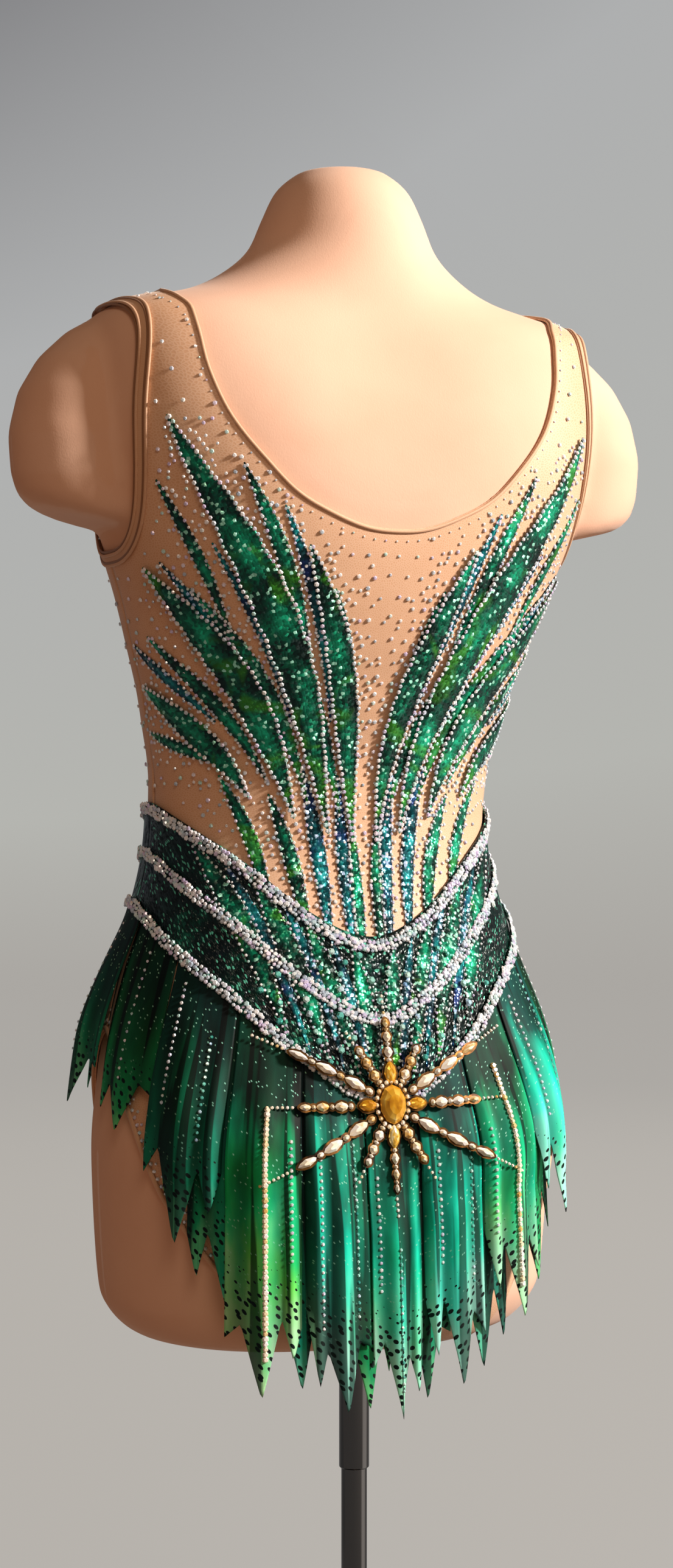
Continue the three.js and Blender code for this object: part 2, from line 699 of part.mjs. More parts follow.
function skirtPetals() {
  const petals = [];
  const pitch = (2 * BACK_REACH) / OUTER_TIPS.length;
  OUTER_TIPS.forEach((tip, i) => {
    const centre = -BACK_REACH + pitch * (i + 0.5);
    petals.push([`back_petal_outer_${i + 1}`, petal(centre, pitch / 2 - PETAL_GAP / 2, tip, 1)]);
  });
  INNER_TIPS.forEach((tip, i) => {
    const edgeOne = i === 0 || i === INNER_TIPS.length - 1;
    const centre = THREE.MathUtils.clamp(-BACK_REACH + pitch * i, -BACK_REACH + pitch / 4, BACK_REACH - pitch / 4);
    const half = edgeOne ? pitch / 4 : pitch / 2;
    petals.push([`back_petal_inner_${i + 1}`, petal(centre, half - PETAL_GAP / 2, tip, 0)]);
  });
  const frontPitch = (180 - BACK_REACH) / FRONT_TIPS.length;
  for (const [side, word] of [[1, "right"], [-1, "left"]]) {
    FRONT_TIPS.forEach((tip, i) => {
      const lap = i % 2 && i < FRONT_TIPS.length - 1 ? PETAL_LAP : 0;
      const centre = side * (BACK_REACH + frontPitch * (i + 0.5));
      const half = frontPitch / 2 - PETAL_GAP / 2 + lap;
      petals.push([`front_petal_${word}_${i + 1}`, petal(centre, half, tip, i % 2)]);
    });
  }
  return petals;
}

// Place of the sunburst's points, from how far across and up they are from its centre.
function burstPlace(acrossBy, upBy, extra) {
  const level = BURST.level + upBy;
  const around = new THREE.Vector3().subVectors(skin(1, ringAt(level)), skin(-1, ringAt(level))).length() / 2;
  const turn = acrossBy / around;
  const outer = LAYERS[1];
  const onSkirt = outer.rest + TRIM_THICK + lift(turn, level) * (outer.lift + outer.bulge);
  return hung(turn, level, Math.max(onBand, onSkirt) + 2 * SEAM_GAP + extra);
}

// One beaded ray as a chain of pointed beads.
function ray(angle, length) {
  const steps = BURST.beads * 2;
  const from = BURST.start - 4;
  const place = (u, v, side) => {
    const reach = mix(from, length, v);
    const chain = Math.abs(Math.sin(Math.PI * BURST.beads * v));
    const half = 0.9 + 2.1 * chain * (1 - 0.35 * v);
    const across = (u * 2 - 1) * half;
    const high = side * (BURST.thick * (0.5 + 0.5 * chain) + (u === 0.5 ? 0.9 * chain : 0));
    const x = reach * Math.sin(angle) + across * Math.cos(angle);
    const y = reach * Math.cos(angle) - across * Math.sin(angle);
    return burstPlace(x, y, high);
  };
  return solidOf(wall(place, 2, steps));
}

// The round plate that carries the rays.
function burstPlate() {
  const sides = 20;
  const loop = (radius, extra) =>
    Array.from({ length: sides }, (_, i) => {
      const angle = (i / sides) * 2 * Math.PI;
      return burstPlace(radius * Math.sin(angle), radius * Math.cos(angle), extra);
    });
  const loops = [loop(BURST.start, 0), loop(BURST.start, BURST.thick * 0.7), loop(BURST.start - 2, BURST.thick)];
  return solidOf(stacked(loops, burstPlace(0, 0, 0), burstPlace(0, 0, BURST.thick)));
}

function sunburst() {
  let whole = burstPlate();
  for (let i = 0; i < BURST.rays; i++) {
    const angle = (i / BURST.rays) * 2 * Math.PI;
    const reach = 1 / Math.hypot(Math.sin(angle) / BURST.wide, Math.cos(angle) / BURST.high);
    whole = whole.add(ray(angle, i % 2 ? BURST.shorter * reach : reach));
  }
  return geometryFrom(whole);
}

// The large cut stone in the middle: an eight-sided girdle with a smaller table.
function centreStone() {
  const sides = 8;
  const loop = (share, extra) =>
    Array.from({ length: sides }, (_, i) => {
      const angle = ((i + 0.5) / sides) * 2 * Math.PI;
      const [x, y] = [(STONE.wide / 2) * share * Math.sin(angle), (STONE.high / 2) * share * Math.cos(angle)];
      return burstPlace(x, y, extra);
    });
  const seat = BURST.thick + SEAM_GAP;
  const loops = [loop(0.94, seat), loop(1, seat + 2), loop(0.6, seat + STONE.thick)];
  return stacked(loops, burstPlace(0, 0, seat), burstPlace(0, 0, seat + STONE.thick));
}

// Colours and finishes from the photograph.
const FINISHES = {
  form: { color: 0xe3b98c, roughness: 0.75, metalness: 0 },
  steel: { color: 0x6e6a67, roughness: 0.2, metalness: 1 },
  nude: { color: 0xd29a68, roughness: 0.7, metalness: 0 },
  binding: { color: 0xb57f4e, roughness: 0.6, metalness: 0 },
  dark: { color: 0x0b1f1c, roughness: 0.5, metalness: 0 },
  emerald: { color: 0x0a6a48, roughness: 0.45, metalness: 0 },
  silver: { color: 0xcfd6d8, roughness: 0.15, metalness: 0.3 },
  skirt: { color: 0x0f8f62, roughness: 0.5, metalness: 0 },
  skirtDark: { color: 0x07432e, roughness: 0.5, metalness: 0 },
  gold: { color: 0xd8b36a, roughness: 0.25, metalness: 0.6 },
  amber: { color: 0xe0a020, roughness: 0.1, metalness: 0 },
};

const model = new THREE.Group();
function add(name, geometry, finish) {
  const mesh = new THREE.Mesh(geometry, new THREE.MeshStandardMaterial(FINISHES[finish]));
  mesh.name = name;
  model.add(mesh);
}

add("form", dressForm(), "form");
add("pole", pole(), "steel");
add("collar", collar(), "steel");
add("base", base(), "steel");

const suit = suitPanels();
add("suit_back", suit.back, "nude");
add("suit_front", suit.front, "nude");
add("gusset", gusset(), "nude");
add("neck_binding", neckBinding(), "binding");
add("armhole_binding_left", armBinding(-1), "binding");
add("armhole_binding_right", armBinding(1), "binding");
add("leg_binding_left", legBinding(LEG_LEFT), "binding");
add("leg_binding_right", legBinding(LEG_RIGHT), "binding");

for (const [from, word] of [[-90, "back"], [90, "front"]]) {
  add(`yoke_${word}`, yoke(from), "dark");
  add(`band_upper_${word}`, band(from, BAND_SHARES.upper, onYoke), "silver");
  add(`band_middle_${word}`, band(from, BAND_SHARES.middle, onYoke), "silver");
  add(`band_seam_${word}`, band(from, BAND_SHARES.seam, onPetals), "silver");
}

for (const [side, word] of [[1, "right"], [-1, "left"]]) {
  for (const row of LEAVES) add(`leaf_${row.name}_${word}`, leaf(row, side), "emerald");
}

for (const [name, geometry] of skirtPetals()) {
  add(name, geometry, name.includes("outer") ? "skirt" : "skirtDark");
}

add("sunburst", sunburst(), "gold");
add("centre_stone", centreStone(), "amber");

export default model;
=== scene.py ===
# Rhythmic gymnastics leotard on a limbless dress form with a pole and a round base.
# Sizes are in millimetres until a mesh is made. Turns are degrees from the centre back, positive
# towards the wearer's right (+X), and a level is the height of a body ring at the centre back.
import functools
import math

import bpy
import numpy as np
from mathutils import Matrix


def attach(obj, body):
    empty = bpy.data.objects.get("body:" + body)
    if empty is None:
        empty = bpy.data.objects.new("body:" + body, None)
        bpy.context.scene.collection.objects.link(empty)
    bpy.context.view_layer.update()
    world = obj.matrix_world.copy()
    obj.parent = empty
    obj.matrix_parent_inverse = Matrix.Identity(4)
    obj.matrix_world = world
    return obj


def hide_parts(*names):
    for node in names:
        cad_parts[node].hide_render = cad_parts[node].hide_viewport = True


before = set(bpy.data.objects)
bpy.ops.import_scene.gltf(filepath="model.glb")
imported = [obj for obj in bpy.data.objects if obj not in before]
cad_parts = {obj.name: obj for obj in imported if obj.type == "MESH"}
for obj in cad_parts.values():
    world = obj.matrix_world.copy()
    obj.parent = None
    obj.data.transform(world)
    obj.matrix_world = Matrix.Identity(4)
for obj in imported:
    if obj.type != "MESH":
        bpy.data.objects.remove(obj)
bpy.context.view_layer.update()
random = np.random.default_rng(7)

# the body that the cloth is stretched over
body = {
    "bottom": 240,
    "bottomRound": 44,
    "backRound": 0.6,  # share of the lower edge's radius behind, where the pole stands
    "roundSteps": 3,
    "crown": 1002,
    "fullLevel": 345,  # widest part of the hips; the skirt hangs straight below it
    "flare": 0.05,
    "ramp": 90,  # length over which the petals lift off the hips
    "middle": (0, 45),  # a place inside every ring, x and y
}
ringNames = ["level", "rise", "half", "back", "front", "centre", "power", "frontPower"]
ringTable = [
    (284, 0, 151.5, 106, 95, 58, 2.3, 2.1),
    (360, 0, 155.5, 111, 96, 58, 2.3, 2.1),
    (400, 0, 152.5, 108, 97, 58, 2.3, 2.1),
    (440, 0, 146.5, 101, 97, 59, 2.25, 2.1),
    (480, 0, 136.5, 92, 96, 61, 2.2, 2.05),
    (515, 0, 124.5, 84, 93, 62, 2.2, 2.05),
    (550, 0, 115.5, 78, 88, 63, 2.2, 2.05),
    (585, 0, 113, 75.5, 84, 62, 2.2, 2.05),
    (620, 0, 116, 78, 84, 59, 2.2, 2.05),
    (655, 0, 123.5, 85, 86, 53, 2.2, 2.05),
    (690, 0, 134, 93, 89, 46, 2.3, 2.05),
    (722, 0, 143.5, 99, 92, 41, 2.4, 2.1),
    (754, 2, 156, 102, 93, 36, 2.5, 2.1),
    (785, 7, 166, 102, 90, 33, 2.65, 2.2),
    (815, 15, 172, 98, 84, 31, 2.75, 2.3),
    (840, 26, 173, 91, 76, 29, 2.75, 2.4),
    (860, 32, 169, 83, 68, 27, 2.65, 2.4),
    (876, 27, 154, 76, 62, 25, 2.5, 2.3),
    (890, 19, 132, 70, 58, 23.5, 2.3, 2.2),
    (904, 12, 106, 64, 55, 22.5, 2.15, 2.1),
    (920, 7, 84, 59, 52, 21.5, 2.05, 2.05),
    (941, 3, 64, 55, 51, 21, 2, 2),
    (965, 0, 53.5, 52, 50, 21, 2, 2),
    (985, 0, 43.5, 43, 42, 21, 2, 2),
    (997, 0, 29, 29, 29, 21, 2, 2),
]
swellings = [  # turn, level, width in turns, height, how far out
    (146, 742, 20, 42, 17),  # bust
    (38, 820, 20, 40, 3),  # shoulder blade
    (34, 352, 26, 55, 5),  # seat
]


def roundedRings():
    # the lower edge as a quarter circle in front of the table's rings
    first = dict(zip(ringNames, ringTable[0]))
    rows = []
    for k in range(body["roundSteps"]):
        angle = k / body["roundSteps"] * math.pi / 2
        inset = body["bottomRound"] * (1 - math.sin(angle))
        row = dict(first)
        row["level"] = body["bottom"] + body["bottomRound"] * (1 - math.cos(angle))
        row["half"] = first["half"] - inset
        row["back"] = first["back"] - inset * body["backRound"]
        row["front"] = first["front"] - inset
        rows.append([row[name] for name in ringNames])
    return np.array(rows + [list(row) for row in ringTable])


rings = roundedRings()
lastRing = len(rings) - 1


def ringValue(name, ring):
    # Catmull-Rom curve through the table's column
    column = rings[:, ringNames.index(name)]
    ring = np.clip(ring, 0, lastRing)
    i = np.minimum(np.floor(ring).astype(int), lastRing)
    t = ring - i
    p0, p1 = column[np.maximum(i - 1, 0)], column[i]
    p2, p3 = column[np.minimum(i + 1, lastRing)], column[np.minimum(i + 2, lastRing)]
    v0, v1 = (p2 - p0) / 2, (p3 - p1) / 2
    return (2 * p1 - 2 * p2 + v0 + v1) * t**3 + (3 * p2 - 3 * p1 - 2 * v0 - v1) * t**2 + v0 * t + p1


denseRing = np.linspace(0, lastRing, 5600)  # fine enough to look a ring up by its level
denseLevel = np.maximum.accumulate(ringValue("level", denseRing))


def ringAt(level):
    return np.interp(level, denseLevel, denseRing)


def fromBack(turn):
    return np.abs((np.asarray(turn, float) + 180) % 360 - 180)


def skin(turn, ring):
    # superellipse of the ring at a turn, with the swellings added to its radius
    turn, ring = np.broadcast_arrays(np.asarray(turn, float), np.asarray(ring, float))
    angle = np.radians(turn)
    across, along = np.sin(angle), -np.cos(angle)
    behind = along < 0
    depth = np.where(behind, ringValue("back", ring), ringValue("front", ring))
    power = np.where(behind, ringValue("power", ring), ringValue("frontPower", ring))
    total = np.abs(across / ringValue("half", ring)) ** power + np.abs(along / depth) ** power
    level = ringValue("level", ring)
    radius = total ** (-1 / power)
    for centreTurn, centreLevel, wide, high, out in swellings:
        radius = radius + out * np.exp(
            -(((fromBack(turn) - centreTurn) / wide) ** 2) - ((level - centreLevel) / high) ** 2
        )
    x = radius * across
    y = ringValue("centre", ring) + radius * along
    z = level + ringValue("rise", ring) * across**2
    return np.stack([x, y, z], -1)


def unit(vector):
    return vector / np.maximum(np.linalg.norm(vector, axis=-1, keepdims=True), 1e-9)


def perDegree(turn, ring):
    # millimetres for each degree of turn
    return np.linalg.norm(skin(turn + 1.0, ring) - skin(turn - 1.0, ring), axis=-1) / 2


def outward(turn, ring):
    # the skin's normal, from its slopes round and up the body
    ring = np.asarray(ring, float)
    ahead = skin(turn + 1.0, ring) - skin(turn - 1.0, ring)
    up = skin(turn, np.minimum(ring + 0.02, lastRing)) - skin(turn, np.maximum(ring - 0.02, 0))
    return unit(np.cross(ahead, up))


def lifted(turn, level, distance):
    # a place on the body, moved out along the skin's normal
    turn, level, distance = np.broadcast_arrays(*(np.asarray(a, float) for a in (turn, level, distance)))
    ring = ringAt(level)
    return skin(turn, ring) + outward(turn, ring) * distance[..., None]


def hung(turn, height, distance):
    # on the body down to the widest level, then straight down with a little flare
    turn, height, distance = np.broadcast_arrays(*(np.asarray(a, float) for a in (turn, height, distance)))
    drop = np.maximum(body["fullLevel"] - height, 0)
    points = lifted(turn, np.maximum(height, body["fullLevel"]), distance + body["flare"] * drop)
    points[..., 2] -= drop
    return points


def edgeLevel(table, mirrored=True):
    # Hermite curve of the level over the turn through a table, flat where it meets the mirrored side
    turns, levels = (np.array(column, float) for column in zip(*table))
    slopes = np.empty_like(levels)
    slopes[1:-1] = (levels[2:] - levels[:-2]) / (turns[2:] - turns[:-2])
    slopes[0] = 0 if turns[0] == 0 else (levels[1] - levels[0]) / (turns[1] - turns[0])
    slopes[-1] = 0 if turns[-1] == 180 else (levels[-1] - levels[-2]) / (turns[-1] - turns[-2])

    def level(turn):
        turn = np.clip(fromBack(turn) if mirrored else turn, turns[0], turns[-1])
        i = np.clip(np.searchsorted(turns, turn, side="right") - 1, 0, len(turns) - 2)
        width = turns[i + 1] - turns[i]
        s = (turn - turns[i]) / width
        return (
            (2 * s**3 - 3 * s**2 + 1) * levels[i]
            + (s**3 - 2 * s**2 + s) * width * slopes[i]
            + (3 * s**2 - 2 * s**3) * levels[i + 1]
            + (s**3 - s**2) * width * slopes[i + 1]
        )

    return level


# edges of the garment
neckLevel = edgeLevel([
    (0, 759), (12, 761), (24, 769), (34, 780), (43, 799), (50, 817), (56, 838), (60, 856), (65, 872),
    (76, 886), (90, 895), (107, 882), (122, 864), (138, 846), (158, 833), (180, 829),
])
legTables = {
    "left": [(-190, 236), (-172, 246), (-150, 262), (-132, 292), (-116, 345), (-104, 400), (-90, 440),
             (-73, 388), (-62, 337), (-46, 286), (-26, 258), (-6, 246), (11, 236)],
    "right": [(42, 236), (47, 266), (54, 302), (62, 337), (73, 388), (90, 440), (104, 400), (116, 345),
              (126, 300), (134, 264), (140, 236)],
}
yokeTop = edgeLevel([(0, 502), (25, 517), (60, 562), (90, 588), (120, 576), (150, 548), (180, 532)])
skirtSeam = edgeLevel([(0, 398), (25, 424), (60, 482), (90, 520), (120, 516), (150, 504), (180, 497)])
armhole = {"middle": 88.5, "turns": 20, "lowLevel": 742, "highLevel": 872, "square": 0.72}
layer = {"suit": 0.7, "suitThick": 1.1, "stones": 1.9, "trim": 3.3, "onYoke": 4.6}  # distances from the skin


def armholePath(side, t):
    # superellipse in turn and ring
    squared = lambda value: np.sign(value) * np.abs(value) ** armhole["square"]
    low, high = ringAt(armhole["lowLevel"]), ringAt(armhole["highLevel"])
    ring = (low + high) / 2 + squared(np.sin(2 * np.pi * t)) * (high - low) / 2
    turn = side * (armhole["middle"] + armhole["turns"] * squared(np.cos(2 * np.pi * t)))
    return turn, ringValue("level", ring)


def beside(turn, level, aside):
    # places at distances to the side of a path on the body; aside is one number or a row for each place
    ring = ringAt(level)
    perTurn = perDegree(turn, ring)
    perLevel = np.linalg.norm(lifted(turn, level + 2, 0) - lifted(turn, level - 2, 0), axis=-1) / 4
    alongTurn, alongLevel = np.gradient(turn) * perTurn, np.gradient(level) * perLevel
    size = np.maximum(np.hypot(alongTurn, alongLevel), 1e-9)
    shiftTurn = alongLevel / size / perTurn
    shiftLevel = -alongTurn / size / perLevel
    return turn[:, None] + aside * shiftTurn[:, None], level[:, None] + aside * shiftLevel[:, None]


# meshes
def makeMesh(name, points, faces, uv=None, attributes=None, smooth=True):
    # a mesh object at the origin from points in millimetres; uv and attributes are per point
    mesh = bpy.data.meshes.new(name)
    mesh.from_pydata((points.reshape(-1, 3) * 0.001).tolist(), [], faces)
    if smooth:
        mesh.polygons.foreach_set("use_smooth", [True] * len(mesh.polygons))
    if uv is not None:
        corner = np.empty(len(mesh.loops), int)
        mesh.loops.foreach_get("vertex_index", corner)
        mesh.uv_layers.new(name="cloth").data.foreach_set("uv", uv.reshape(-1, 2)[corner].ravel())
    for key, values in (attributes or {}).items():
        mesh.attributes.new(key, "FLOAT", "POINT").data.foreach_set("value", np.ravel(values))
    mesh.validate()
    piece = bpy.data.objects.new(name, mesh)
    bpy.context.scene.collection.objects.link(piece)
    return piece


def gridFaces(rows, columns, loopRows=False, loopColumns=False):
    j, i = np.meshgrid(
        np.arange(rows if loopRows else rows - 1), np.arange(columns if loopColumns else columns - 1), indexing="ij"
    )
    j2, i2 = (j + 1) % rows, (i + 1) % columns
    quads = np.stack([j * columns + i, j * columns + i2, j2 * columns + i2, j2 * columns + i], -1)
    return quads.reshape(-1, 4).tolist()


def modify(piece, name, kind, **settings):
    modifier = piece.modifiers.new(name, kind)
    for key, value in settings.items():
        setattr(modifier, key, value)


def dress(piece, material, slot, node=None):
    # finish, body and, where there is one, the CAD node that the piece stands for
    piece.data.materials.append(material)
    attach(piece, "root")
    if node:
        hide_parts(node)


def makeCloth(piece, thick):
    # faces turned away from the body's middle, and a thin wall towards the inside
    mesh = piece.data
    normals, centres = np.empty(len(mesh.polygons) * 3), np.empty(len(mesh.polygons) * 3)
    mesh.polygons.foreach_get("normal", normals)
    mesh.polygons.foreach_get("center", centres)
    away = centres.reshape(-1, 3)[:, :2] - np.array(body["middle"]) * 0.001
    if (normals.reshape(-1, 3)[:, :2] * away).sum() < 0:
        mesh.flip_normals()
    modify(piece, "wall", "SOLIDIFY", thickness=thick * 0.001, offset=-1)


def clothPiece(name, points, finish, thick, sheet=None, uv=None, width=0, **values):
    # a sheet from a grid of points with a map in millimetres; finish is material, slot and CAD node,
    # sheet is how it is held and what is under it but is not used, and the other values become attributes
    rows, columns = points.shape[:2]
    edgeU, edgeV = np.diff(points, axis=1), np.diff(points, axis=0)
    stepU, stepV = np.linalg.norm(edgeU, axis=-1), np.linalg.norm(edgeV, axis=-1)
    if uv is None:
        u = np.concatenate([np.zeros((rows, 1)), np.cumsum(stepU, 1)], 1)
        u -= u[:, columns // 2][:, None]
        v = np.concatenate([[0], np.cumsum(stepV[:, columns // 2])])
        uv = np.stack([u, np.broadcast_to(v[:, None], u.shape)], -1)
    attributes = {key: np.broadcast_to(value, (rows, columns)) for key, value in values.items()}
    piece = makeMesh(name, points, gridFaces(rows, columns), uv, attributes)
    makeCloth(piece, thick)
    dress(piece, *finish)


def circle(count):
    return np.linspace(0, 2 * np.pi, count, endpoint=False)


def lengthAlong(path):
    return np.concatenate([[0], np.cumsum(np.linalg.norm(np.diff(path, axis=0), axis=-1))])


def endFaces(rows, sides):
    # flat faces over the first and the last loop
    return [list(range(sides))[::-1], [(rows - 1) * sides + k for k in range(sides)]]


def tubeAlong(name, path, radius, sides=10, looped=False, flat=1.0):
    # a tube along a path; `flat` is its height over its width, with the height along the skin's normal
    centre, normal = path
    ahead = np.roll(centre, -1, 0) - np.roll(centre, 1, 0) if looped else np.gradient(centre, axis=0)
    ahead = unit(ahead)
    normal = unit(normal - (normal * ahead).sum(-1, keepdims=True) * ahead)
    side = np.cross(ahead, normal)
    angle = circle(sides)
    ring = side[:, None] * np.cos(angle)[None, :, None] + flat * normal[:, None] * np.sin(angle)[None, :, None]
    points = centre[:, None] + radius * ring
    faces = gridFaces(len(centre), sides, looped, True)
    uv = np.stack(np.broadcast_arrays(angle[None] / (2 * np.pi), lengthAlong(centre)[:, None]), -1)
    if not looped:
        faces += endFaces(len(centre), sides)
    return makeMesh(name, points, faces, uv)


def lathe(name, profile, closed=True, sides=96):
    # a turned piece about the pole's axis from a profile of (radius, height)
    profile = np.array(profile, float)
    radius, height, angle = profile[:, 0, None], profile[:, 1, None], circle(sides)
    points = np.stack(np.broadcast_arrays(radius * np.cos(angle), radius * np.sin(angle), height), -1)
    faces = gridFaces(len(profile), sides, False, True)
    return makeMesh(name, points, faces + endFaces(len(profile), sides) if closed else faces)


def resample(points, normals, spacing, start=0.5):
    # places at an even spacing along a path, with their normals
    length = lengthAlong(points)
    count = max(int(length[-1] / spacing), 1)
    wanted = (np.arange(count) + start) * length[-1] / count
    pick = lambda values: np.stack([np.interp(wanted, length, values[:, k]) for k in range(3)], -1)
    return pick(points), unit(pick(normals))


def stonePiece(name, groups, material, slot, height=0.42):
    # cut stones as one mesh: a six-sided girdle, a smaller table and a closed back, for each of the
    # groups of (centres, normals, diameters)
    centres = np.concatenate([g[0] for g in groups])
    normals = unit(np.concatenate([g[1] for g in groups]))
    sizes = np.concatenate([np.broadcast_to(g[2], len(g[0])) for g in groups])
    spin = random.uniform(0, np.pi, len(centres))
    helper = np.where(np.abs(normals[:, 2:3]) < 0.9, [[0, 0, 1.0]], [[0, 1.0, 0]])
    first = unit(np.cross(helper, normals))
    second = np.cross(normals, first)
    right = first * np.cos(spin)[:, None] + second * np.sin(spin)[:, None]
    ahead = np.cross(normals, right)
    angle = np.arange(6) * np.pi / 3
    template = np.concatenate([
        np.stack([np.cos(angle) * 0.5, np.sin(angle) * 0.5, np.full(6, 0.12)], -1),
        np.stack([np.cos(angle) * 0.28, np.sin(angle) * 0.28, np.full(6, height)], -1),
        [[0, 0, 0.0]],
    ])
    aside, along, up = (template[None, :, k:k + 1] for k in range(3))
    points = centres[:, None] + sizes[:, None, None] * (
        aside * right[:, None] + along * ahead[:, None] + up * normals[:, None])
    k = np.arange(6)
    crown = np.stack([k, (k + 1) % 6, (k + 1) % 6 + 6, k + 6], -1)
    back = np.stack([(k + 1) % 6, k, np.full(6, 12)], -1)
    offset = np.arange(len(centres))[:, None, None] * 13
    faces = (crown[None] + offset).reshape(-1, 4).tolist()
    faces += (back[None] + offset).reshape(-1, 3).tolist()
    faces += (np.arange(6, 12)[None] + offset[:, 0]).tolist()
    tone = np.repeat(random.uniform(0, 1, len(centres)), 13)
    dress(makeMesh(name, points, faces, attributes={"tone": tone}, smooth=False), material, slot)


# materials
def colour(code, alpha=1.0):
    # sRGB hex to linear
    values = [int(code[k:k + 2], 16) / 255 for k in (1, 3, 5)]
    return (*[v / 12.92 if v <= 0.04045 else ((v + 0.055) / 1.055) ** 2.4 for v in values], alpha)


def setInputs(tree, node, inputs):
    # an input is a value, a hex colour, a socket or another node
    for key, value in inputs.items():
        if isinstance(value, bpy.types.Node):
            value = next(socket for socket in value.outputs if socket.enabled)
        if isinstance(value, bpy.types.NodeSocket):
            tree.links.new(value, node.inputs[key])
        else:
            node.inputs[key].default_value = colour(value) if isinstance(value, str) else value


def addNode(tree, kind, inputs=None, stops=(), **settings):
    # a node with its settings, its links and the stops of its colour ramp
    node = tree.nodes.new("ShaderNode" + kind)
    for key, value in settings.items():
        setattr(node, key, value)
    setInputs(tree, node, inputs or {})
    for k, (place, code) in enumerate(stops):
        elements = node.color_ramp.elements
        element = elements[k] if k < 2 else elements.new(place)
        element.position = place
        element.color = colour(code)
    return node


def newMaterial(name):
    # the material, what adds a node to it, and what sets or links the shader's inputs
    material = bpy.data.materials.new(name)
    material.use_nodes = True
    tree = material.node_tree
    onShader = functools.partial(setInputs, tree, tree.nodes["Principled BSDF"])
    return material, functools.partial(addNode, tree), onShader


# Cotton and elastane jersey stretched over the form: matt, with fine vertical wales at 0.9 mm.
def jerseyMaterial():
    material, add, onShader = newMaterial("cottonJersey")
    place = add("TexCoord").outputs["Object"]
    cloud = add("TexNoise", {"Vector": place, "Scale": 9.0, "Detail": 4.0})
    tint = add("ValToRGB", {"Fac": cloud}, [(0.3, "#dfb59b"), (0.7, "#e8c3aa")])
    stretch = add("Mapping", {"Vector": place, "Scale": (1000 / 0.9, 1000 / 0.9, 1000 / 1.4)})
    knit = add("TexNoise", {"Vector": stretch, "Scale": 1.0, "Detail": 2.0})
    bump = add("Bump", {"Height": knit, "Strength": 0.2, "Distance": 0.0004})
    onShader({"Base Color": tint, "Normal": bump, "Roughness": 0.8, "Sheen Weight": 0.12, "Sheen Roughness": 0.5})
    return material


# Nylon power mesh dyed to skin tone: slightly glossy; its fine net of 0.9 mm is drawn at 1.4 mm to show.
def meshMaterial():
    material, add, onShader = newMaterial("nudePowerMesh")
    uv = add("UVMap", uv_map="cloth")
    fine = add("Mapping", {"Vector": uv, "Scale": (1 / 1.4,) * 3})
    net = add("TexVoronoi", {"Vector": fine, "Scale": 1.0}, feature="DISTANCE_TO_EDGE", voronoi_dimensions="2D")
    place = add("TexCoord").outputs["Object"]
    cloud = add("TexNoise", {"Vector": place, "Scale": 14.0, "Detail": 5.0})
    base = add("ValToRGB", {"Fac": cloud}, [(0.25, "#deb898"), (0.75, "#e8c6a9")])
    holes = add("ValToRGB", {"Fac": net}, [(0.0, "#ffffff"), (0.25, "#f3e7db")])
    mixed = add("Mix", {0: 1.0, 6: base, 7: holes}, data_type="RGBA", blend_type="MULTIPLY")
    bump = add("Bump", {"Height": net, "Strength": 0.18, "Distance": 0.0003}, invert=True)
    onShader({"Base Color": mixed, "Normal": bump, "Roughness": 0.52, "Sheen Weight": 0.2, "Sheen Roughness": 0.35})
    return material


# Sequins of 2 mm sewn close together: each a small metallised disc that tilts its own way and has its
# own tone; clouds of some 30 mm change the dye, and one disc in fourteen has a painted glint.
def sequinMaterial(name, size, stops, accent, glint, cloudScale=38.0):
    material, add, onShader = newMaterial(name)
    uv = add("UVMap", uv_map="cloth")
    fine = add("Mapping", {"Vector": uv, "Scale": (1 / size,) * 3})
    cells = add("TexVoronoi", {"Vector": fine, "Scale": 1.0, "Randomness": 0.7}, voronoi_dimensions="2D")
    split = add("SeparateColor", {"Color": cells.outputs["Color"]})
    place = add("TexCoord").outputs["Object"]
    cloud = add("TexNoise", {"Vector": place, "Scale": cloudScale, "Detail": 2.0})
    patch = add("TexNoise", {"Vector": place, "Scale": cloudScale * 0.7, "Detail": 1.0, "Distortion": 1.5})
    edge = add("Attribute", attribute_name="across")
    wander = add("Math", {0: split.outputs["Green"], 1: 0.32, 2: -0.16}, operation="MULTIPLY_ADD")
    tone = add("Math", {0: cloud, 1: 1.5, 2: wander}, operation="MULTIPLY_ADD")
    rim = add("Math", {0: edge.outputs["Fac"], 1: -0.3, 2: tone}, operation="MULTIPLY_ADD")
    shade = add("Math", {0: rim, 1: 0.14}, operation="SUBTRACT")
    dye = add("ValToRGB", {"Fac": shade}, stops)
    where = add("MapRange", {"Value": patch, "From Min": 0.56, "From Max": 0.68, "To Max": 0.65})
    tinted = add("Mix", {0: where, 6: dye, 7: accent}, data_type="RGBA")
    # painted glint: one disc in fourteen takes the glint colour
    rare = add("Math", {0: split.outputs["Blue"], 1: 0.93}, operation="GREATER_THAN")
    lit = add("Mix", {0: rare, 6: tinted, 7: glint}, data_type="RGBA")
    normal = add("NewGeometry").outputs["Normal"]
    centred = add("VectorMath", {0: cells.outputs["Color"], 1: (0.5, 0.5, 0.5)}, operation="SUBTRACT")
    tilt = add("VectorMath", {0: centred, "Scale": 0.75}, operation="SCALE")
    leaned = add("VectorMath", {0: normal, 1: tilt}, operation="ADD")
    whole = add("VectorMath", {0: leaned}, operation="NORMALIZE")
    bump = add("Bump", {"Height": cells, "Strength": 0.5, "Distance": 0.0005, "Normal": whole}, invert=True)
    onShader({"Base Color": lit, "Normal": bump, "Metallic": 0.42, "Roughness": 0.27})
    return material
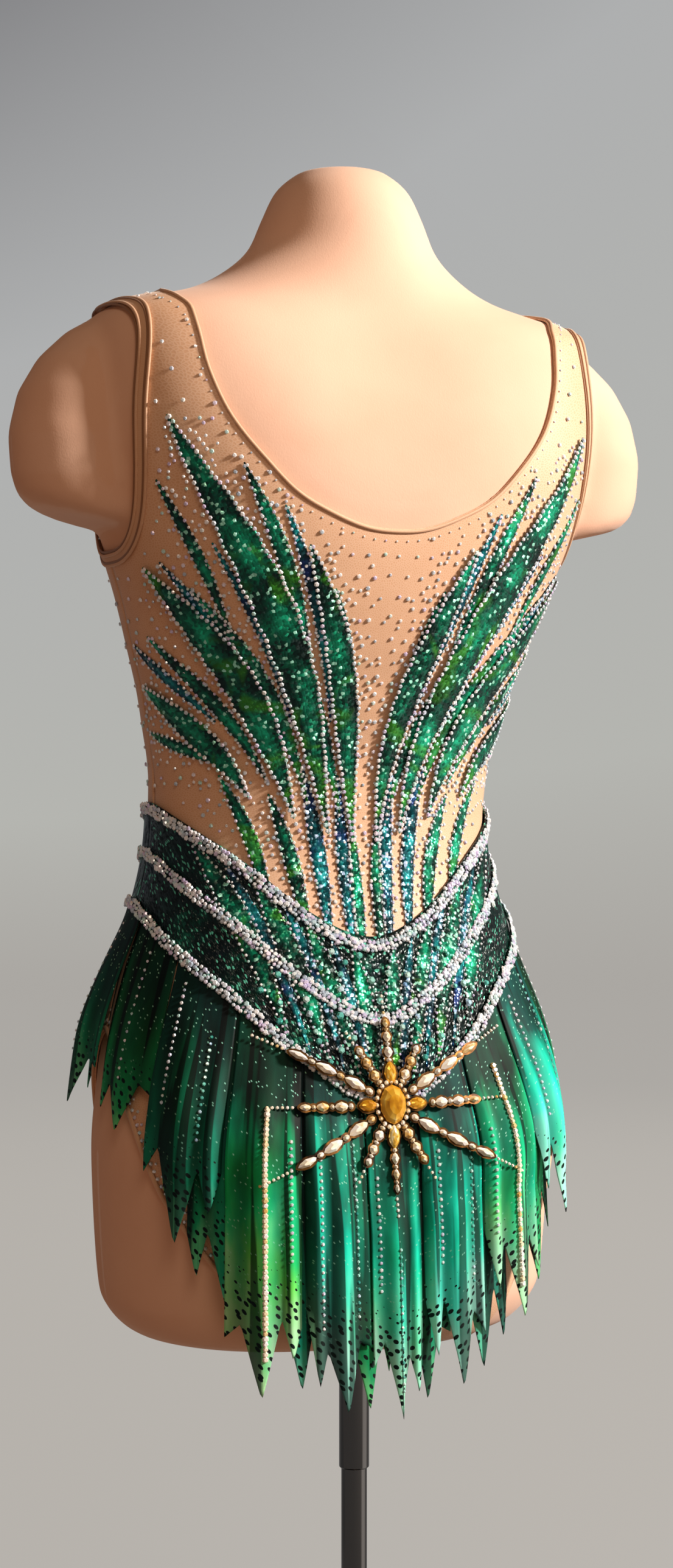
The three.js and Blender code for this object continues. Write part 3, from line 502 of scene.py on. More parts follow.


# Dip-dyed stretch net of the petals: dark at the seam, emerald, then turquoise or yellow-green at the
# tips, with dark dye strips some 8 mm wide, painted shade in the pleats' valleys, strewn glitter of 1 mm
# and black foil dots of up to 2.8 mm near the tips. The net of 0.8 mm shows in the bump.
def petalMaterial(name, warm, cool, alpha):
    material, add, onShader = newMaterial(name)
    uv = add("UVMap", uv_map="cloth")
    values = ("along", "tint", "fold")
    along, tint, fold = (add("Attribute", attribute_name=value).outputs["Fac"] for value in values)
    wide = add("Mapping", {"Vector": uv, "Scale": (1 / 16, 1 / 60, 1)})
    cloud = add("TexNoise", {"Vector": wide, "Scale": 1.0, "Detail": 3.0})
    shade = add("Math", {0: cloud, 1: 0.9, 2: along}, operation="MULTIPLY_ADD")
    shifted = add("Math", {0: shade, 1: 0.37}, operation="SUBTRACT")
    warmDye = add("ValToRGB", {"Fac": shifted}, warm)
    coolDye = add("ValToRGB", {"Fac": shifted}, cool)
    spread = add("Mapping", {"Vector": uv, "Scale": (1 / 24, 1 / 80, 1)})
    patch = add("TexNoise", {"Vector": spread, "Scale": 1.0, "Detail": 2.0})
    blend = add("Math", {0: patch, 1: 1.3, 2: tint}, operation="MULTIPLY_ADD")
    chosen = add("Math", {0: blend, 1: 0.62}, operation="SUBTRACT", use_clamp=True)
    dye = add("Mix", {0: chosen, 6: warmDye, 7: coolDye}, data_type="RGBA")
    long = add("Mapping", {"Vector": uv, "Scale": (1 / 8, 1 / 300, 1)})
    streak = add("TexNoise", {"Vector": long, "Scale": 1.0, "Detail": 1.5, "Roughness": 0.6})
    streaks = add("ValToRGB", {"Fac": streak}, [(0.425, "#082e28"), (0.465, "#ffffff")])
    streaked = add("Mix", {0: 0.88, 6: dye, 7: streaks}, data_type="RGBA", blend_type="MULTIPLY")
    # painted shade: the pleats' valleys are darkened
    deep = add("Math", {0: fold, 1: 0.7}, operation="MULTIPLY")
    folded = add("Mix", {0: deep, 6: streaked, 7: "#0b2f2c"}, data_type="RGBA", blend_type="MULTIPLY")
    grains = add("Mapping", {"Vector": uv, "Scale": (1 / 1.4,) * 3})
    glitter = add("TexVoronoi", {"Vector": grains, "Scale": 1.0}, voronoi_dimensions="2D")
    rare = add("Math", {0: glitter.outputs["Color"], 1: 0.84}, operation="GREATER_THAN")
    small = add("Math", {0: glitter, 1: 0.36}, operation="LESS_THAN")
    upper = add("MapRange", {"Value": along, "From Min": 0.3, "From Max": 0.85, "To Min": 0.8, "To Max": 0.0})
    sparse = add("Math", {0: rare, 1: small}, operation="MULTIPLY")
    strewn = add("Math", {0: sparse, 1: upper}, operation="MULTIPLY")
    glittered = add("Mix", {0: strewn, 6: folded, 7: "#8fd9c4"}, data_type="RGBA")
    dotPlace = add("Mapping", {"Vector": uv, "Scale": (1 / 5.6,) * 3})
    dots = add("TexVoronoi", {"Vector": dotPlace, "Scale": 1.0, "Randomness": 0.7}, voronoi_dimensions="2D")
    grown = add("Math", {0: along, 1: 1.9, 2: -1.16}, operation="MULTIPLY_ADD")
    limit = add("Math", {0: grown, 1: 0.25}, operation="MINIMUM")
    inside = add("Math", {0: dots, 1: limit}, operation="LESS_THAN")
    dotted = add("Mix", {0: inside, 6: glittered, 7: "#03120f"}, data_type="RGBA")
    sheer = add("MapRange", {"Value": along, "From Min": 0.55, "From Max": 1.0, "To Min": 1.0, "To Max": alpha})
    solid = add("Math", {0: sheer, 1: inside}, operation="MAXIMUM")
    net = add("Mapping", {"Vector": uv, "Scale": (1 / 0.8,) * 3})
    weave = add("TexNoise", {"Vector": net, "Scale": 1.0})
    bump = add("Bump", {"Height": weave, "Strength": 0.15, "Distance": 0.0003})
    onShader({"Base Color": dotted, "Alpha": solid, "Normal": bump, "Roughness": 0.6, "Specular IOR Level": 0.15})
    return material


# Foil-backed cut glass: bright facets, a slight change of tone from stone to stone.
def stoneMaterial(name, stops, metallic=0.3, roughness=0.1):
    material, add, onShader = newMaterial(name)
    tone = add("Attribute", attribute_name="tone").outputs["Fac"]
    ramp = add("ValToRGB", {"Fac": tone}, stops)
    onShader({"Base Color": ramp, "Metallic": metallic, "Roughness": roughness, "IOR": 1.6})
    return material


# Nylon elastic folded over the raw edge: satin, with fine cross ribs at 1.6 mm whose grooves have painted shade.
def bindingMaterial(name, dark, light):
    material, add, onShader = newMaterial(name)
    uv = add("UVMap", uv_map="cloth")
    ribs = add("Mapping", {"Vector": uv, "Scale": (1 / 1.6,) * 3})
    wave = add("TexWave", {"Vector": ribs, "Scale": 1.0, "Distortion": 0.4}, bands_direction="Y")
    # painted shade: the ribs' grooves take the darker colour
    tint = add("ValToRGB", {"Fac": wave}, [(0.0, dark), (1.0, light)])
    bump = add("Bump", {"Height": wave, "Strength": 0.25, "Distance": 0.0003})
    onShader({"Base Color": tint, "Normal": bump, "Roughness": 0.5, "Sheen Weight": 0.2})
    return material


# Black chromium plate over steel: dark, near mirror, with faint wipe marks in the roughness.
def chromeMaterial():
    material, add, onShader = newMaterial("blackChrome")
    place = add("TexCoord").outputs["Object"]
    marks = add("TexNoise", {"Vector": place, "Scale": 40.0, "Detail": 4.0})
    rough = add("MapRange", {"Value": marks, "To Min": 0.08, "To Max": 0.2})
    onShader({"Base Color": "#6b6662", "Metallic": 1.0, "Roughness": rough})
    return material


# Antique bronze cups that hold the large beads: dark, brushed, brighter where hands rub them.
def bronzeMaterial():
    material, add, onShader = newMaterial("antiqueBronze")
    place = add("TexCoord").outputs["Object"]
    wear = add("TexNoise", {"Vector": place, "Scale": 160.0, "Detail": 3.0})
    tint = add("ValToRGB", {"Fac": wear}, [(0.35, "#2c1a0d"), (0.7, "#7a5222")])
    onShader({"Base Color": tint, "Metallic": 0.85, "Roughness": 0.38})
    return material


jersey, nudeMesh, chrome, bronze = jerseyMaterial(), meshMaterial(), chromeMaterial(), bronzeMaterial()
elastic = bindingMaterial("foldOverElastic", "#caa07c", "#deb796")
# dark brown threads beside the armhole's rolls that stand for its shadow lines: painted shade
shadowLineThread = bindingMaterial("paintedShadowLineThread", "#7c5233", "#99693f")
leafSequins = sequinMaterial("emeraldSequins", 2.0, [
    (0.0, "#010d0b"), (0.3, "#02281f"), (0.5, "#045843"), (0.7, "#069068"), (0.92, "#1cc796"),
], "#3f9a22", "#9fe8cf")
tealSequins = sequinMaterial("tealSequins", 2.0, [
    (0.0, "#010f14"), (0.35, "#03303a"), (0.55, "#055a63"), (0.75, "#0a8c8f"), (0.95, "#37b5b8"),
], "#1b2f7a", "#b8d8ff")
yokeSequins = sequinMaterial("blackGreenSequins", 1.8, [
    (0.0, "#000404"), (0.45, "#010d0c"), (0.7, "#021d18"), (0.88, "#04382c"), (1.0, "#087055"),
], "#03141f", "#5fc0a4")
skirtBright = petalMaterial("dipDyedStretchNet", [
    (0.0, "#011d12"), (0.24, "#023c20"), (0.42, "#068f3e"), (0.58, "#18c850"), (0.76, "#6be84e"), (0.95, "#b4f6a6"),
], [
    (0.0, "#01201f"), (0.22, "#024a44"), (0.38, "#05a890"), (0.52, "#10dcbc"), (0.7, "#48f4da"), (0.95, "#a8fdee"),
], 0.8)
# a darker copy of the petal net for the under layer, the front petals and the leftmost back petal: painted shade
skirtShaded = petalMaterial("shadedGreenStretchNet", [
    (0.0, "#011a12"), (0.3, "#03351f"), (0.6, "#07663a"), (0.85, "#12995a"), (1.0, "#5cc77a"),
], [
    (0.0, "#01161a"), (0.3, "#03333a"), (0.6, "#076a62"), (0.85, "#12a48c"), (1.0, "#5fd8bf"),
], 0.84)
silverStones = stoneMaterial("silverFoiledGlass", [
    (0.0, "#b4c6d8"), (0.2, "#e6f2fb"), (0.6, "#ffffff"), (0.8, "#dccff5"), (0.92, "#c4f0ea"), (1.0, "#ffffff"),
], metallic=0.27)
goldStones = stoneMaterial("champagneFoiledGlass", [
    (0.0, "#e2b35a"), (0.15, "#fbeac0"), (0.7, "#ffffff"), (1.0, "#fff6dc")], metallic=0.12, roughness=0.07)
aquaStones = stoneMaterial("aquaFoiledGlass", [(0.0, "#1f8f86"), (0.5, "#7fe0d0"), (0.8, "#e6fffa"), (1.0, "#7fb2e8")])
amberGlass = stoneMaterial("amberCutGlass", [
    (0.0, "#b57516"), (0.45, "#e3a424"), (0.75, "#f8cc55"), (1.0, "#fff2b8")], metallic=0.4, roughness=0.06)
print("materials made")

# dress form
formSizes = {
    "turnStep": 3.0, "rings": 230, "voxel": 3.4, "smoothing": 8,
    "stubRows": 60, "stubSides": 72, "stubY": 30, "stubSlope": 0.22, "stubCut": 770, "stubFade": 50,
}
stubTable = [  # height, x, half width, half depth
    (765, 170, 29, 27), (767, 170, 38, 34), (773, 171, 44, 39), (786, 172, 47, 41), (820, 173, 48, 42),
    (846, 168, 47, 40), (868, 158, 44, 36), (885, 147, 37, 29), (895, 139, 27, 21), (899, 134, 13, 10),
]


def smoothstep(value, low, high):
    s = np.clip((value - low) / (high - low), 0, 1)
    return s * s * (3 - 2 * s)


def closedLoops(loops, low, high):
    # points and faces of a skin over loops, closed by a fan at each end
    rows, sides = loops.shape[:2]
    points = np.concatenate([loops.reshape(-1, 3), [low, high]])
    faces = gridFaces(rows, sides, False, True)
    k = np.arange(sides)
    faces += np.stack([(k + 1) % sides, k, np.full(sides, rows * sides)], -1).tolist()
    top = (rows - 1) * sides
    faces += np.stack([top + k, top + (k + 1) % sides, np.full(sides, rows * sides + 1)], -1).tolist()
    return points, faces


def joinParts(parts):
    # points and faces of several parts as one
    faces, start = [], 0
    for p, f in parts:
        faces += [[v + start for v in face] for face in f]
        start += len(p)
    return np.concatenate([p for p, _ in parts]), faces


def stubLoops(side):
    # ellipses up the arm stub, whose cut lower end leans outwards
    table = np.array(stubTable, float)
    row = np.linspace(0, len(table) - 1, formSizes["stubRows"])
    height, x, wide, deep = (np.interp(row, np.arange(len(table)), column) for column in table.T)
    angle = circle(formSizes["stubSides"])
    out = wide[:, None] * np.cos(angle)
    lean = 1 - smoothstep(height, formSizes["stubCut"], formSizes["stubCut"] + formSizes["stubFade"])
    y = formSizes["stubY"] + deep[:, None] * np.sin(angle)
    z = height[:, None] + formSizes["stubSlope"] * out * lean[:, None]
    loops = np.stack([side * (x[:, None] + out), y, z], -1)
    ends = ([side * table[k, 1], formSizes["stubY"], table[k, 0] - k] for k in (0, -1))  # 1 mm of dome on top
    return closedLoops(loops[:, ::side], *ends)


def makeForm():
    # torso and arm stubs melted into one skin
    turn = np.arange(-180, 180, formSizes["turnStep"])
    ring = np.linspace(0, lastRing, formSizes["rings"])
    ends = ([0, ringValue("centre", end), body[edge]] for end, edge in ((0, "bottom"), (lastRing, "crown")))
    parts = [closedLoops(skin(turn[None], ring[:, None]), *ends), stubLoops(1), stubLoops(-1)]
    form = makeMesh("formCover", *joinParts(parts))
    modify(form, "skin", "REMESH", mode="VOXEL", voxel_size=formSizes["voxel"] * 0.001, use_smooth_shade=True)
    modify(form, "soften", "SMOOTH", factor=0.5, iterations=formSizes["smoothing"])
    dress(form, jersey, "form_jersey", "form")


makeForm()
print("form made")

# pole and base
standProfiles = {  # CAD node, and the turned profile as radius and height
    "poleTube": ("pole", [(0.01, 4.4), (8.3, 4.4), (8.3, 284.6), (0.01, 284.6)]),
    "baseDisc": ("base", [
        (0.01, 0), (139, 0), (139.8, 0.4), (140, 1.2), (140, 5), (139.4, 6.4), (138, 7), (105, 8.6),
        (70, 10.6), (27, 12.4), (21.5, 13.4), (19.5, 15.2), (19, 18), (19, 28), (18.4, 29.4), (17, 30),
        (8.6, 30), (8.6, 4), (0.01, 4)]),
    "poleCollar": ("collar", [(8.6, 159), (8.9, 159), (9.7, 159.8), (9.7, 269.4), (9.3, 270), (8.6, 270)]),
}
for name, (node, profile) in standProfiles.items():
    piece = lathe(name, profile)
    modify(piece, "edges", "BEVEL", width=0.0004, segments=2, limit_method="ANGLE")
    dress(piece, chrome, "stand_metal", node)
print("stand made")

# mesh body suit
suit = {
    "turnStep": 1.5, "rowStep": 3.4, "top": 897, "seam": 0.1,  # half the gap at the side seams, in degrees
    "passes": 6, "mostTurn": 1.2, "mostRing": 0.12,  # how often and how far a corner slides onto the edge
    "strapCrease": 0.7, "strapAt": (62, 770), "strapSpread": (16, 70),
    "waistCrease": 0.5, "waistAt": 610, "waistSpread": 45, "deepest": -0.35,
    "flat": (0.42, 0.68),
}
gusset = {"back": (12, 41), "front": (169, 141), "inset": 0.6, "below": 0.7, "thick": 1.0}


def halfRound(firstTurn, count):
    # turns from one side seam to the other
    return np.linspace(firstTurn + suit["seam"], firstTurn + (180 - suit["seam"]), count)


def insideSuit(turn, ring):
    # above nought where the mesh shows: below the neck, outside the armholes, above the leg edges
    level = ringValue("level", ring)
    inside = neckLevel(turn) - level
    low, high = ringAt(armhole["lowLevel"]), ringAt(armhole["highLevel"])
    power = 2 / armhole["square"]
    around = np.abs((fromBack(turn) - armhole["middle"]) / armhole["turns"]) ** power
    around = around + np.abs((ring - (low + high) / 2) / ((high - low) / 2)) ** power
    inside = np.minimum(inside, (around ** (1 / power) - 1) * 50)
    for table in legTables.values():
        legLevel = edgeLevel(table, mirrored=False)
        first, last = table[0][0], table[-1][0]
        for wrap in (-360, 0, 360):
            at = turn + wrap
            within = (at >= first) & (at <= last)
            inside = np.where(within, np.minimum(inside, level - legLevel(at)), inside)
    return inside


def creases(turn, level):
    # soft troughs that run from the armholes into the back and along the waist
    (atTurn, atLevel), (wide, high) = suit["strapAt"], suit["strapSpread"]
    nearStrap = np.exp(-(((fromBack(turn) - atTurn) / wide) ** 2) - ((level - atLevel) / high) ** 2)
    nearWaist = np.exp(-(((level - suit["waistAt"]) / suit["waistSpread"]) ** 2))
    strap = np.sin((turn * 0.9 + level * 0.35) * 0.16) * nearStrap
    waist = np.sin(level * 0.11 + np.sin(turn * 0.06) * 1.5) * nearWaist
    return suit["strapCrease"] * strap + suit["waistCrease"] * waist


def suitPanel(name, firstTurn, node):
    # half of the body as a grid, kept where insideSuit says so, with its rim drawn onto the edges
    turns = halfRound(firstTurn, int(180 / suit["turnStep"]) + 1)
    levels = np.linspace(body["bottom"] + 0.5, suit["top"], int((suit["top"] - body["bottom"]) / suit["rowStep"]))
    turn, ring = np.meshgrid(turns, ringAt(levels))
    ring[0] = 0
    inside = insideSuit(turn, ring)
    faces = np.array(gridFaces(*turn.shape))
    faces = faces[(inside.ravel()[faces] > 0).any(1)]
    for _ in range(suit["passes"]):
        value = insideSuit(turn, ring)
        slopeTurn = (insideSuit(turn + 0.2, ring) - insideSuit(turn - 0.2, ring)) / 0.4
        slopeRing = (insideSuit(turn, ring + 0.01) - insideSuit(turn, ring - 0.01)) / 0.02
        scaled = slopeTurn**2 + (slopeRing / 10) ** 2 + 1e-6  # a tenth of a ring counts as a degree
        stepTurn = np.clip(-value * slopeTurn / scaled, -suit["mostTurn"], suit["mostTurn"])
        stepRing = np.clip(-value * slopeRing / 100 / scaled, -suit["mostRing"], suit["mostRing"])
        turn = np.where(inside < 0, np.clip(turn + stepTurn, turns[0], turns[-1]), turn)
        ring = np.where(inside < 0, np.maximum(ring + stepRing, 0), ring)
    level = ringValue("level", ring)
    distance = layer["suit"] + layer["suitThick"] + np.maximum(creases(turn, level), suit["deepest"])
    points = skin(turn, ring) + outward(turn, ring) * distance[..., None]
    uv = np.stack([turn * perDegree(0.0, ring), level], -1)
    used, faces = np.unique(faces, return_inverse=True)
    piece = makeMesh(name, points.reshape(-1, 3)[used], faces.reshape(-1, 4).tolist(), uv.reshape(-1, 2)[used])
    makeCloth(piece, layer["suitThick"])
    dress(piece, nudeMesh, "nude_mesh", node)


def makeGusset():
    # ruled between its back and front edges, flat under the form
    centre = np.array([0, ringValue("centre", 0.0), body["bottom"]])
    back, front = (skin(np.linspace(*gusset[edge], 13), 0.0) for edge in ("back", "front"))
    back, front = (edge + unit(centre - edge) * gusset["inset"] for edge in (back, front))
    v = np.linspace(0, 1, 25)[:, None, None]
    points = back[None] * (1 - v) + front[None] * v
    points[..., 2] = body["bottom"] - gusset["below"]
    clothPiece("gussetPanel", points, (nudeMesh, "nude_mesh", "gusset"), gusset["thick"], ("stretched", "formCover"))


suitPanel("backPanel", -90, "suit_back")
suitPanel("frontPanel", 90, "suit_front")
makeGusset()
print("suit made")

# bindings
binding = {
    "neckRadius": 1.15, "neckInset": 1.5, "neckOff": 2.4, "legRadius": 1.7, "legInset": 2, "legShort": 14,
    "neckStone": (1.5, 7.5), "legStone": (2.9, 5.2),  # diameter and spacing
    "armRolls": {  # beside the armhole's edge, radius, off the skin
        "Inner": (-3.3, 1.1, 2.8, elastic), "Outer": (3.3, 1.1, 2.8, elastic),
        # the two dark threads are painted shadow lines beside the rolls
        "ShadowLineInner": (-1.6, 0.85, 2.75, shadowLineThread), "ShadowLineOuter": (5.4, 0.85, 2.1, shadowLineThread)},
    "armTape": (3, 2.7, 0.6),  # half width, off the skin, thickness
}


def onBody(turn, level, distance):
    return lifted(turn, level, distance), outward(turn, ringAt(level))


def addBinding(name, turn, level, radius, node, looped, distance=2.8, material=elastic):
    piece = tubeAlong(name, onBody(turn, level, distance), radius, looped=looped, flat=0.75)
    dress(piece, material, "binding", node)


bodiceStones, bandStones, skirtStones = [], [], []  # (centres, normals, diameters) of the silver stones
turn = np.linspace(-180, 180, 361)
level = neckLevel(turn) - binding["neckInset"]
addBinding("neckBinding", turn[:-1], level[:-1], binding["neckRadius"], "neck_binding", True, binding["neckOff"])
size, spacing = binding["neckStone"]
bodiceStones.append((*resample(*onBody(turn, level - 6, layer["stones"]), spacing), size))
lap = 3  # points by which an armhole's path runs over itself, so that its ends meet smoothly
for side, word in ((1, "Right"), (-1, "Left")):
    path = armholePath(side, np.linspace(0, 1, 181)[:-1])
    path = [np.concatenate([a[-lap:], a, a[:lap]]) for a in path]
    for kind, (aside, radius, distance, material) in binding["armRolls"].items():
        turn, level = (a[lap:-lap, 0] for a in beside(*path, aside))
        node = "armhole_binding_" + word.lower() if kind == "Inner" else None
        addBinding("armhole" + kind + word, turn, level, radius, node, True, distance, material)
    half, distance, thick = binding["armTape"]
    turn, level = (a[lap:-lap] for a in beside(*path, np.linspace(-half, half, 7)[None]))
    turn, level = (np.concatenate([a, a[:1]]) for a in (turn, level))
    clothPiece("armholeTape" + word, lifted(turn, level, distance), (elastic, "binding"), thick)
size, spacing = binding["legStone"]
for word, table in legTables.items():
    turn = np.linspace(table[0][0] + binding["legShort"], table[-1][0] - binding["legShort"], 240)
    level = edgeLevel(table, mirrored=False)(turn) + binding["legInset"]
    addBinding("legBinding" + word.title(), turn, level, binding["legRadius"], "leg_binding_" + word, False)
    bodiceStones.append((*resample(*onBody(turn, level + 5, layer["stones"]), spacing), size))
    bodiceStones.append((*resample(*onBody(turn, level + 12, layer["stones"]), spacing * 1.7, 0.3), size * 0.8))
print("bindings made")

# pointed blades: leaves, slivers and lancets as (root turn, root level, tip turn, tip level, bow, width)
leaves = {
    "inner": (6, 562, 30, 748, 4, 17),
    "tall": (18, 568, 63, 814, 4, 25),
    "armpit": (33, 578, 74, 736, 4, 22),
    "side": (50, 592, 86, 664, 4, 17),
}
leafSizes = {
    "rows": 110, "columns": 21, "off": 0.9, "dome": 0.8, "thick": 0.9, "stone": 3.1, "spacing": 3.9,
    "halo": 130, "reach": 6,
}
greenSlivers = [
    (12, 578, 42, 706, 3, 10), (27, 586, 62, 722, 3, 11), (43, 600, 79, 694, 3, 10), (58, 612, 88, 634, 1, 8),
    (28, 668, 47, 792, 2, 10), (52, 690, 66, 782, 1, 8), (10, 640, 21, 722, 1, 7),
    (4, 470, 6.5, 578, 0.5, 8), (25, 492, 43, 594, 2, 10), (39, 512, 60, 606, 2, 9),
]
tealSlivers = [
    (19, 640, 37, 770, 2, 8), (44, 640, 69, 738, 2, 8), (8, 474, 14, 606, 1, 9), (17, 484, 30, 612, 2, 10),
    (60, 640, 88, 690, 1, 8), (34, 636, 55, 748, 1, 6),
]
greenLancets = [
    (3, 406, 9, 496, 1, 11), (10, 416, 27, 510, 2, 13), (20, 426, 46, 536, 3, 14), (33, 442, 68, 562, 4, 14),
]
tealLancets = [(6, 410, 18, 502, 2, 7), (15, 420, 36, 524, 3, 8), (26, 432, 57, 550, 3, 8)]
halo = {"places": 90, "each": 4, "clear": 3.2, "slivers": 36, "reach": 5}
haloPlaces = []


def bladePath(row, side, t):
    # straight from root to tip in turn and level, with a bow to the side
    rootTurn, rootLevel, tipTurn, tipLevel, bow, _ = row
    turn = side * (rootTurn + (tipTurn - rootTurn) * t - bow * np.sin(np.pi * t))
    return turn, rootLevel + (tipLevel - rootLevel) * t


def bladeHalf(row, t):
    # half the width, most a little past the middle
    return 0.5 + (row[5] / 2 - 0.5) * np.sin(np.pi * np.clip(t, 0, 1) ** 1.25) ** 0.9


def bladeGrid(row, side, distance, rows=56, columns=9, dome=0.4):
    # across the blade by its half width with a feathered edge, domed by 1 - across^2
    t = np.linspace(0.0, 1.0, rows)
    turn, level = bladePath(row, side, t)
    across = np.linspace(-1, 1, columns)[None]
    half = bladeHalf(row, t)[:, None]
    feather = 1 + 0.06 * np.sin(t * 70)[:, None] * np.abs(across) ** 4
    bladeTurn, bladeLevel = beside(turn, level, across * half * feather)
    height = dome * (1 - across**2) * np.sin(np.pi * t)[:, None]
    return lifted(bladeTurn, bladeLevel, distance + height), bladeTurn, bladeLevel, across, t


def edgeStones(points, bladeTurn, bladeLevel, spacing, size, out):
    for edge in (0, -1):
        normals = outward(bladeTurn[:, edge], ringAt(bladeLevel[:, edge]))
        centre, normal = resample(points[:, edge], normals, spacing)
        out.append((centre, normal, random.uniform(size * 0.85, size * 1.12, len(centre))))


def addHalo(row, side, count, reach):
    # places beside a blade, thinning out exponentially with the distance
    t = np.linspace(0.02, 0.98, halo["places"])
    turn, level = bladePath(row, side, t)
    for sign in (-1, 1):
        far = random.exponential(reach, (halo["places"], halo["each"]))
        haloTurn, haloLevel = beside(turn, level, sign * (bladeHalf(row, t)[:, None] + halo["clear"] + far))
        pick = random.permutation(far.size)[:count]
        haloPlaces.append(np.stack([haloTurn.ravel()[pick], haloLevel.ravel()[pick]], -1))


def joinedBlades(name, rows, distance, material, spacing, size, out, dome=0.4):
    # many blades on both sides as one mesh, each with its own part of the map
    parts, maps, edges = [], [], []
    for row in rows:
        for side in (1, -1):
            points, bladeTurn, bladeLevel, across, t = bladeGrid(row, side, distance, dome=dome)
            u = across * bladeHalf(row, t)[:, None]
            v = lengthAlong(points[:, across.size // 2])[:, None] + len(parts) * u.size
            parts.append((points.reshape(-1, 3), gridFaces(*u.shape)))
            maps.append(np.stack(np.broadcast_arrays(u, v), -1).reshape(-1, 2))
            edges.append(np.broadcast_to(np.abs(across), u.shape).ravel())
            edgeStones(points, bladeTurn, bladeLevel, spacing, size, out)
            if out is bodiceStones:
                addHalo(row, side, halo["slivers"], halo["reach"])
    piece = makeMesh(name, *joinParts(parts), np.concatenate(maps), {"across": np.concatenate(edges)})
    makeCloth(piece, 0.5)
    dress(piece, material, "green_sequins")


for side, word in ((1, "right"), (-1, "left")):
    for leaf, row in leaves.items():
        points, bladeTurn, bladeLevel, across, t = bladeGrid(
            row, side, layer["trim"] + leafSizes["off"], leafSizes["rows"], leafSizes["columns"], leafSizes["dome"])
        clothPiece("leaf" + leaf.title() + word.title(), points, (leafSequins, "green_sequins", f"leaf_{leaf}_{word}"),
                   leafSizes["thick"], ("stretched", "backPanel"), along=t[:, None], across=np.abs(across))
        edgeStones(points, bladeTurn, bladeLevel, leafSizes["spacing"], leafSizes["stone"], bodiceStones)
        addHalo(row, side, leafSizes["halo"], leafSizes["reach"])
joinedBlades("sliversGreen", greenSlivers, 2.9, leafSequins, 4.6, 2.4, bodiceStones)
joinedBlades("sliversTeal", tealSlivers, 2.7, tealSequins, 4.4, 2.4, bodiceStones)
print("leaves made")

# yoke and its stone bands
band = {
    "places": {"upper": (0.06, 0.6), "middle": (0.5, 0.6), "seam": (1.0, 1.5)},  # share of the way down, off the yoke
    "width": 7, "thick": 0.9, "rowsApart": 2.5, "stone": 3.4, "spacing": 2.9,
}


def bandLevel(turn, share, lower=0):
    # a share of the way from the yoke's top down to the skirt's seam
    top, low = yokeTop(turn), skirtSeam(turn) + lower
    return top + (low - top) * share


def yokePiece(firstTurn, word):
    u, v = halfRound(firstTurn, 150)[None], np.linspace(0, 1, 40)[:, None]
    clothPiece("yoke" + word.title(), lifted(u, bandLevel(u, v, 1), layer["trim"] + 1),
               (yokeSequins, "dark_cloth", "yoke_" + word), 0.9, ("stretched", word + "Panel"), along=v, across=0.0)


def addBand(firstTurn, word, kind, share, off):
    # a tape along the yoke with three rows of stones of mixed sizes
    turn = halfRound(firstTurn, 200)
    level = bandLevel(turn, share)
    distance = layer["onYoke"] + off
    spread = np.linspace(-1, 1, 5)[None] * band["width"] / 2
    clothPiece(f"bandTape{kind.title()}{word.title()}", lifted(*beside(turn, level, spread), distance),
               (yokeSequins, "silver_stones", f"band_{kind}_{word}"), band["thick"], across=0.0)
    for row in (-1, 0, 1):
        rowTurn, rowLevel = (a[:, 0] for a in beside(turn, level, row * band["rowsApart"]))
        start = 0.25 + 0.25 * (row % 2)
        centre, normal = resample(*onBody(rowTurn, rowLevel, distance), band["spacing"], start)
        sizes = random.uniform(0.7, 1.2, len(centre)) * band["stone"]
        bandStones.append((centre + random.normal(0, 0.4, centre.shape), normal, sizes))


for firstTurn, word in ((-90, "back"), (90, "front")):
    yokePiece(firstTurn, word)
    for kind, place in band["places"].items():
        addBand(firstTurn, word, kind, *place)
# the lancets stand fanwise on the yoke, under its bands
joinedBlades("lancetsGreen", greenLancets, layer["onYoke"] + 0.15, leafSequins, 4.2, 2.2, bandStones, 0.2)
joinedBlades("lancetsTeal", tealLancets, layer["onYoke"] + 0.1, tealSequins, 9, 1.8, bandStones, 0.2)
print("yoke made")

# skirt petals
skirt = {
    "backReach": 66, "gap": 0.8, "lap": 1.2, "flute": (0.9, 2.0), "thick": 0.6, "ease": 1.04,
    "layers": [(2.6, 3.2, 3), (4.1, 7, 5)],  # rest, lift, bulge
    "outer": [  # tip, tint, and two rows of stones as column, from, to
        (318, 0.5, (6, 0.1, 0.8), (22, 0.25, 0.85)),
        (226, 0.25, (16, 0.22, 0.93), (27, 0.3, 0.7)),
        (215, 0.85, (7, 0.3, 0.88), (25, 0.2, 0.9)),
        (207, 0.75, (16, 0.45, 0.95), (5, 0.3, 0.8)),
        (225, 1.0, (9, 0.3, 0.85), (26, 0.35, 0.9)),
        (262, 0.4, (16, 0.16, 0.93), (5, 0.35, 0.8)),
        (320, 1.0, (10, 0.1, 0.85), (26, 0.1, 0.7)),
    ],
    "golden": (1, 5), "goldRow": (3.1, 4.2), "smallRow": (4.2, 2.5),  # petals with a gold row; spacing and size
    "innerTips": [345, 278, 228, 213, 216, 232, 280, 345],
    "frontTips": [381, 392, 385, 396, 386, 400],
    "frontRow": (16, 0.1, 0.8, 5.5, 2.2), "frontTeeth": 0.62,
    "hem": {  # across, height over the longest tip, and the pleat's ridge or valley there
        "across": (-1, -0.7, -0.42, 0.08, 0.6, 1), "height": (52, 20, 46, 0, 48, 34), "ridge": (-1, 1, -1, 1, -1, 0.2)},
}


def liftShare(turn, height):
    return smoothstep(skirtSeam(turn) - height, 0, body["ramp"])


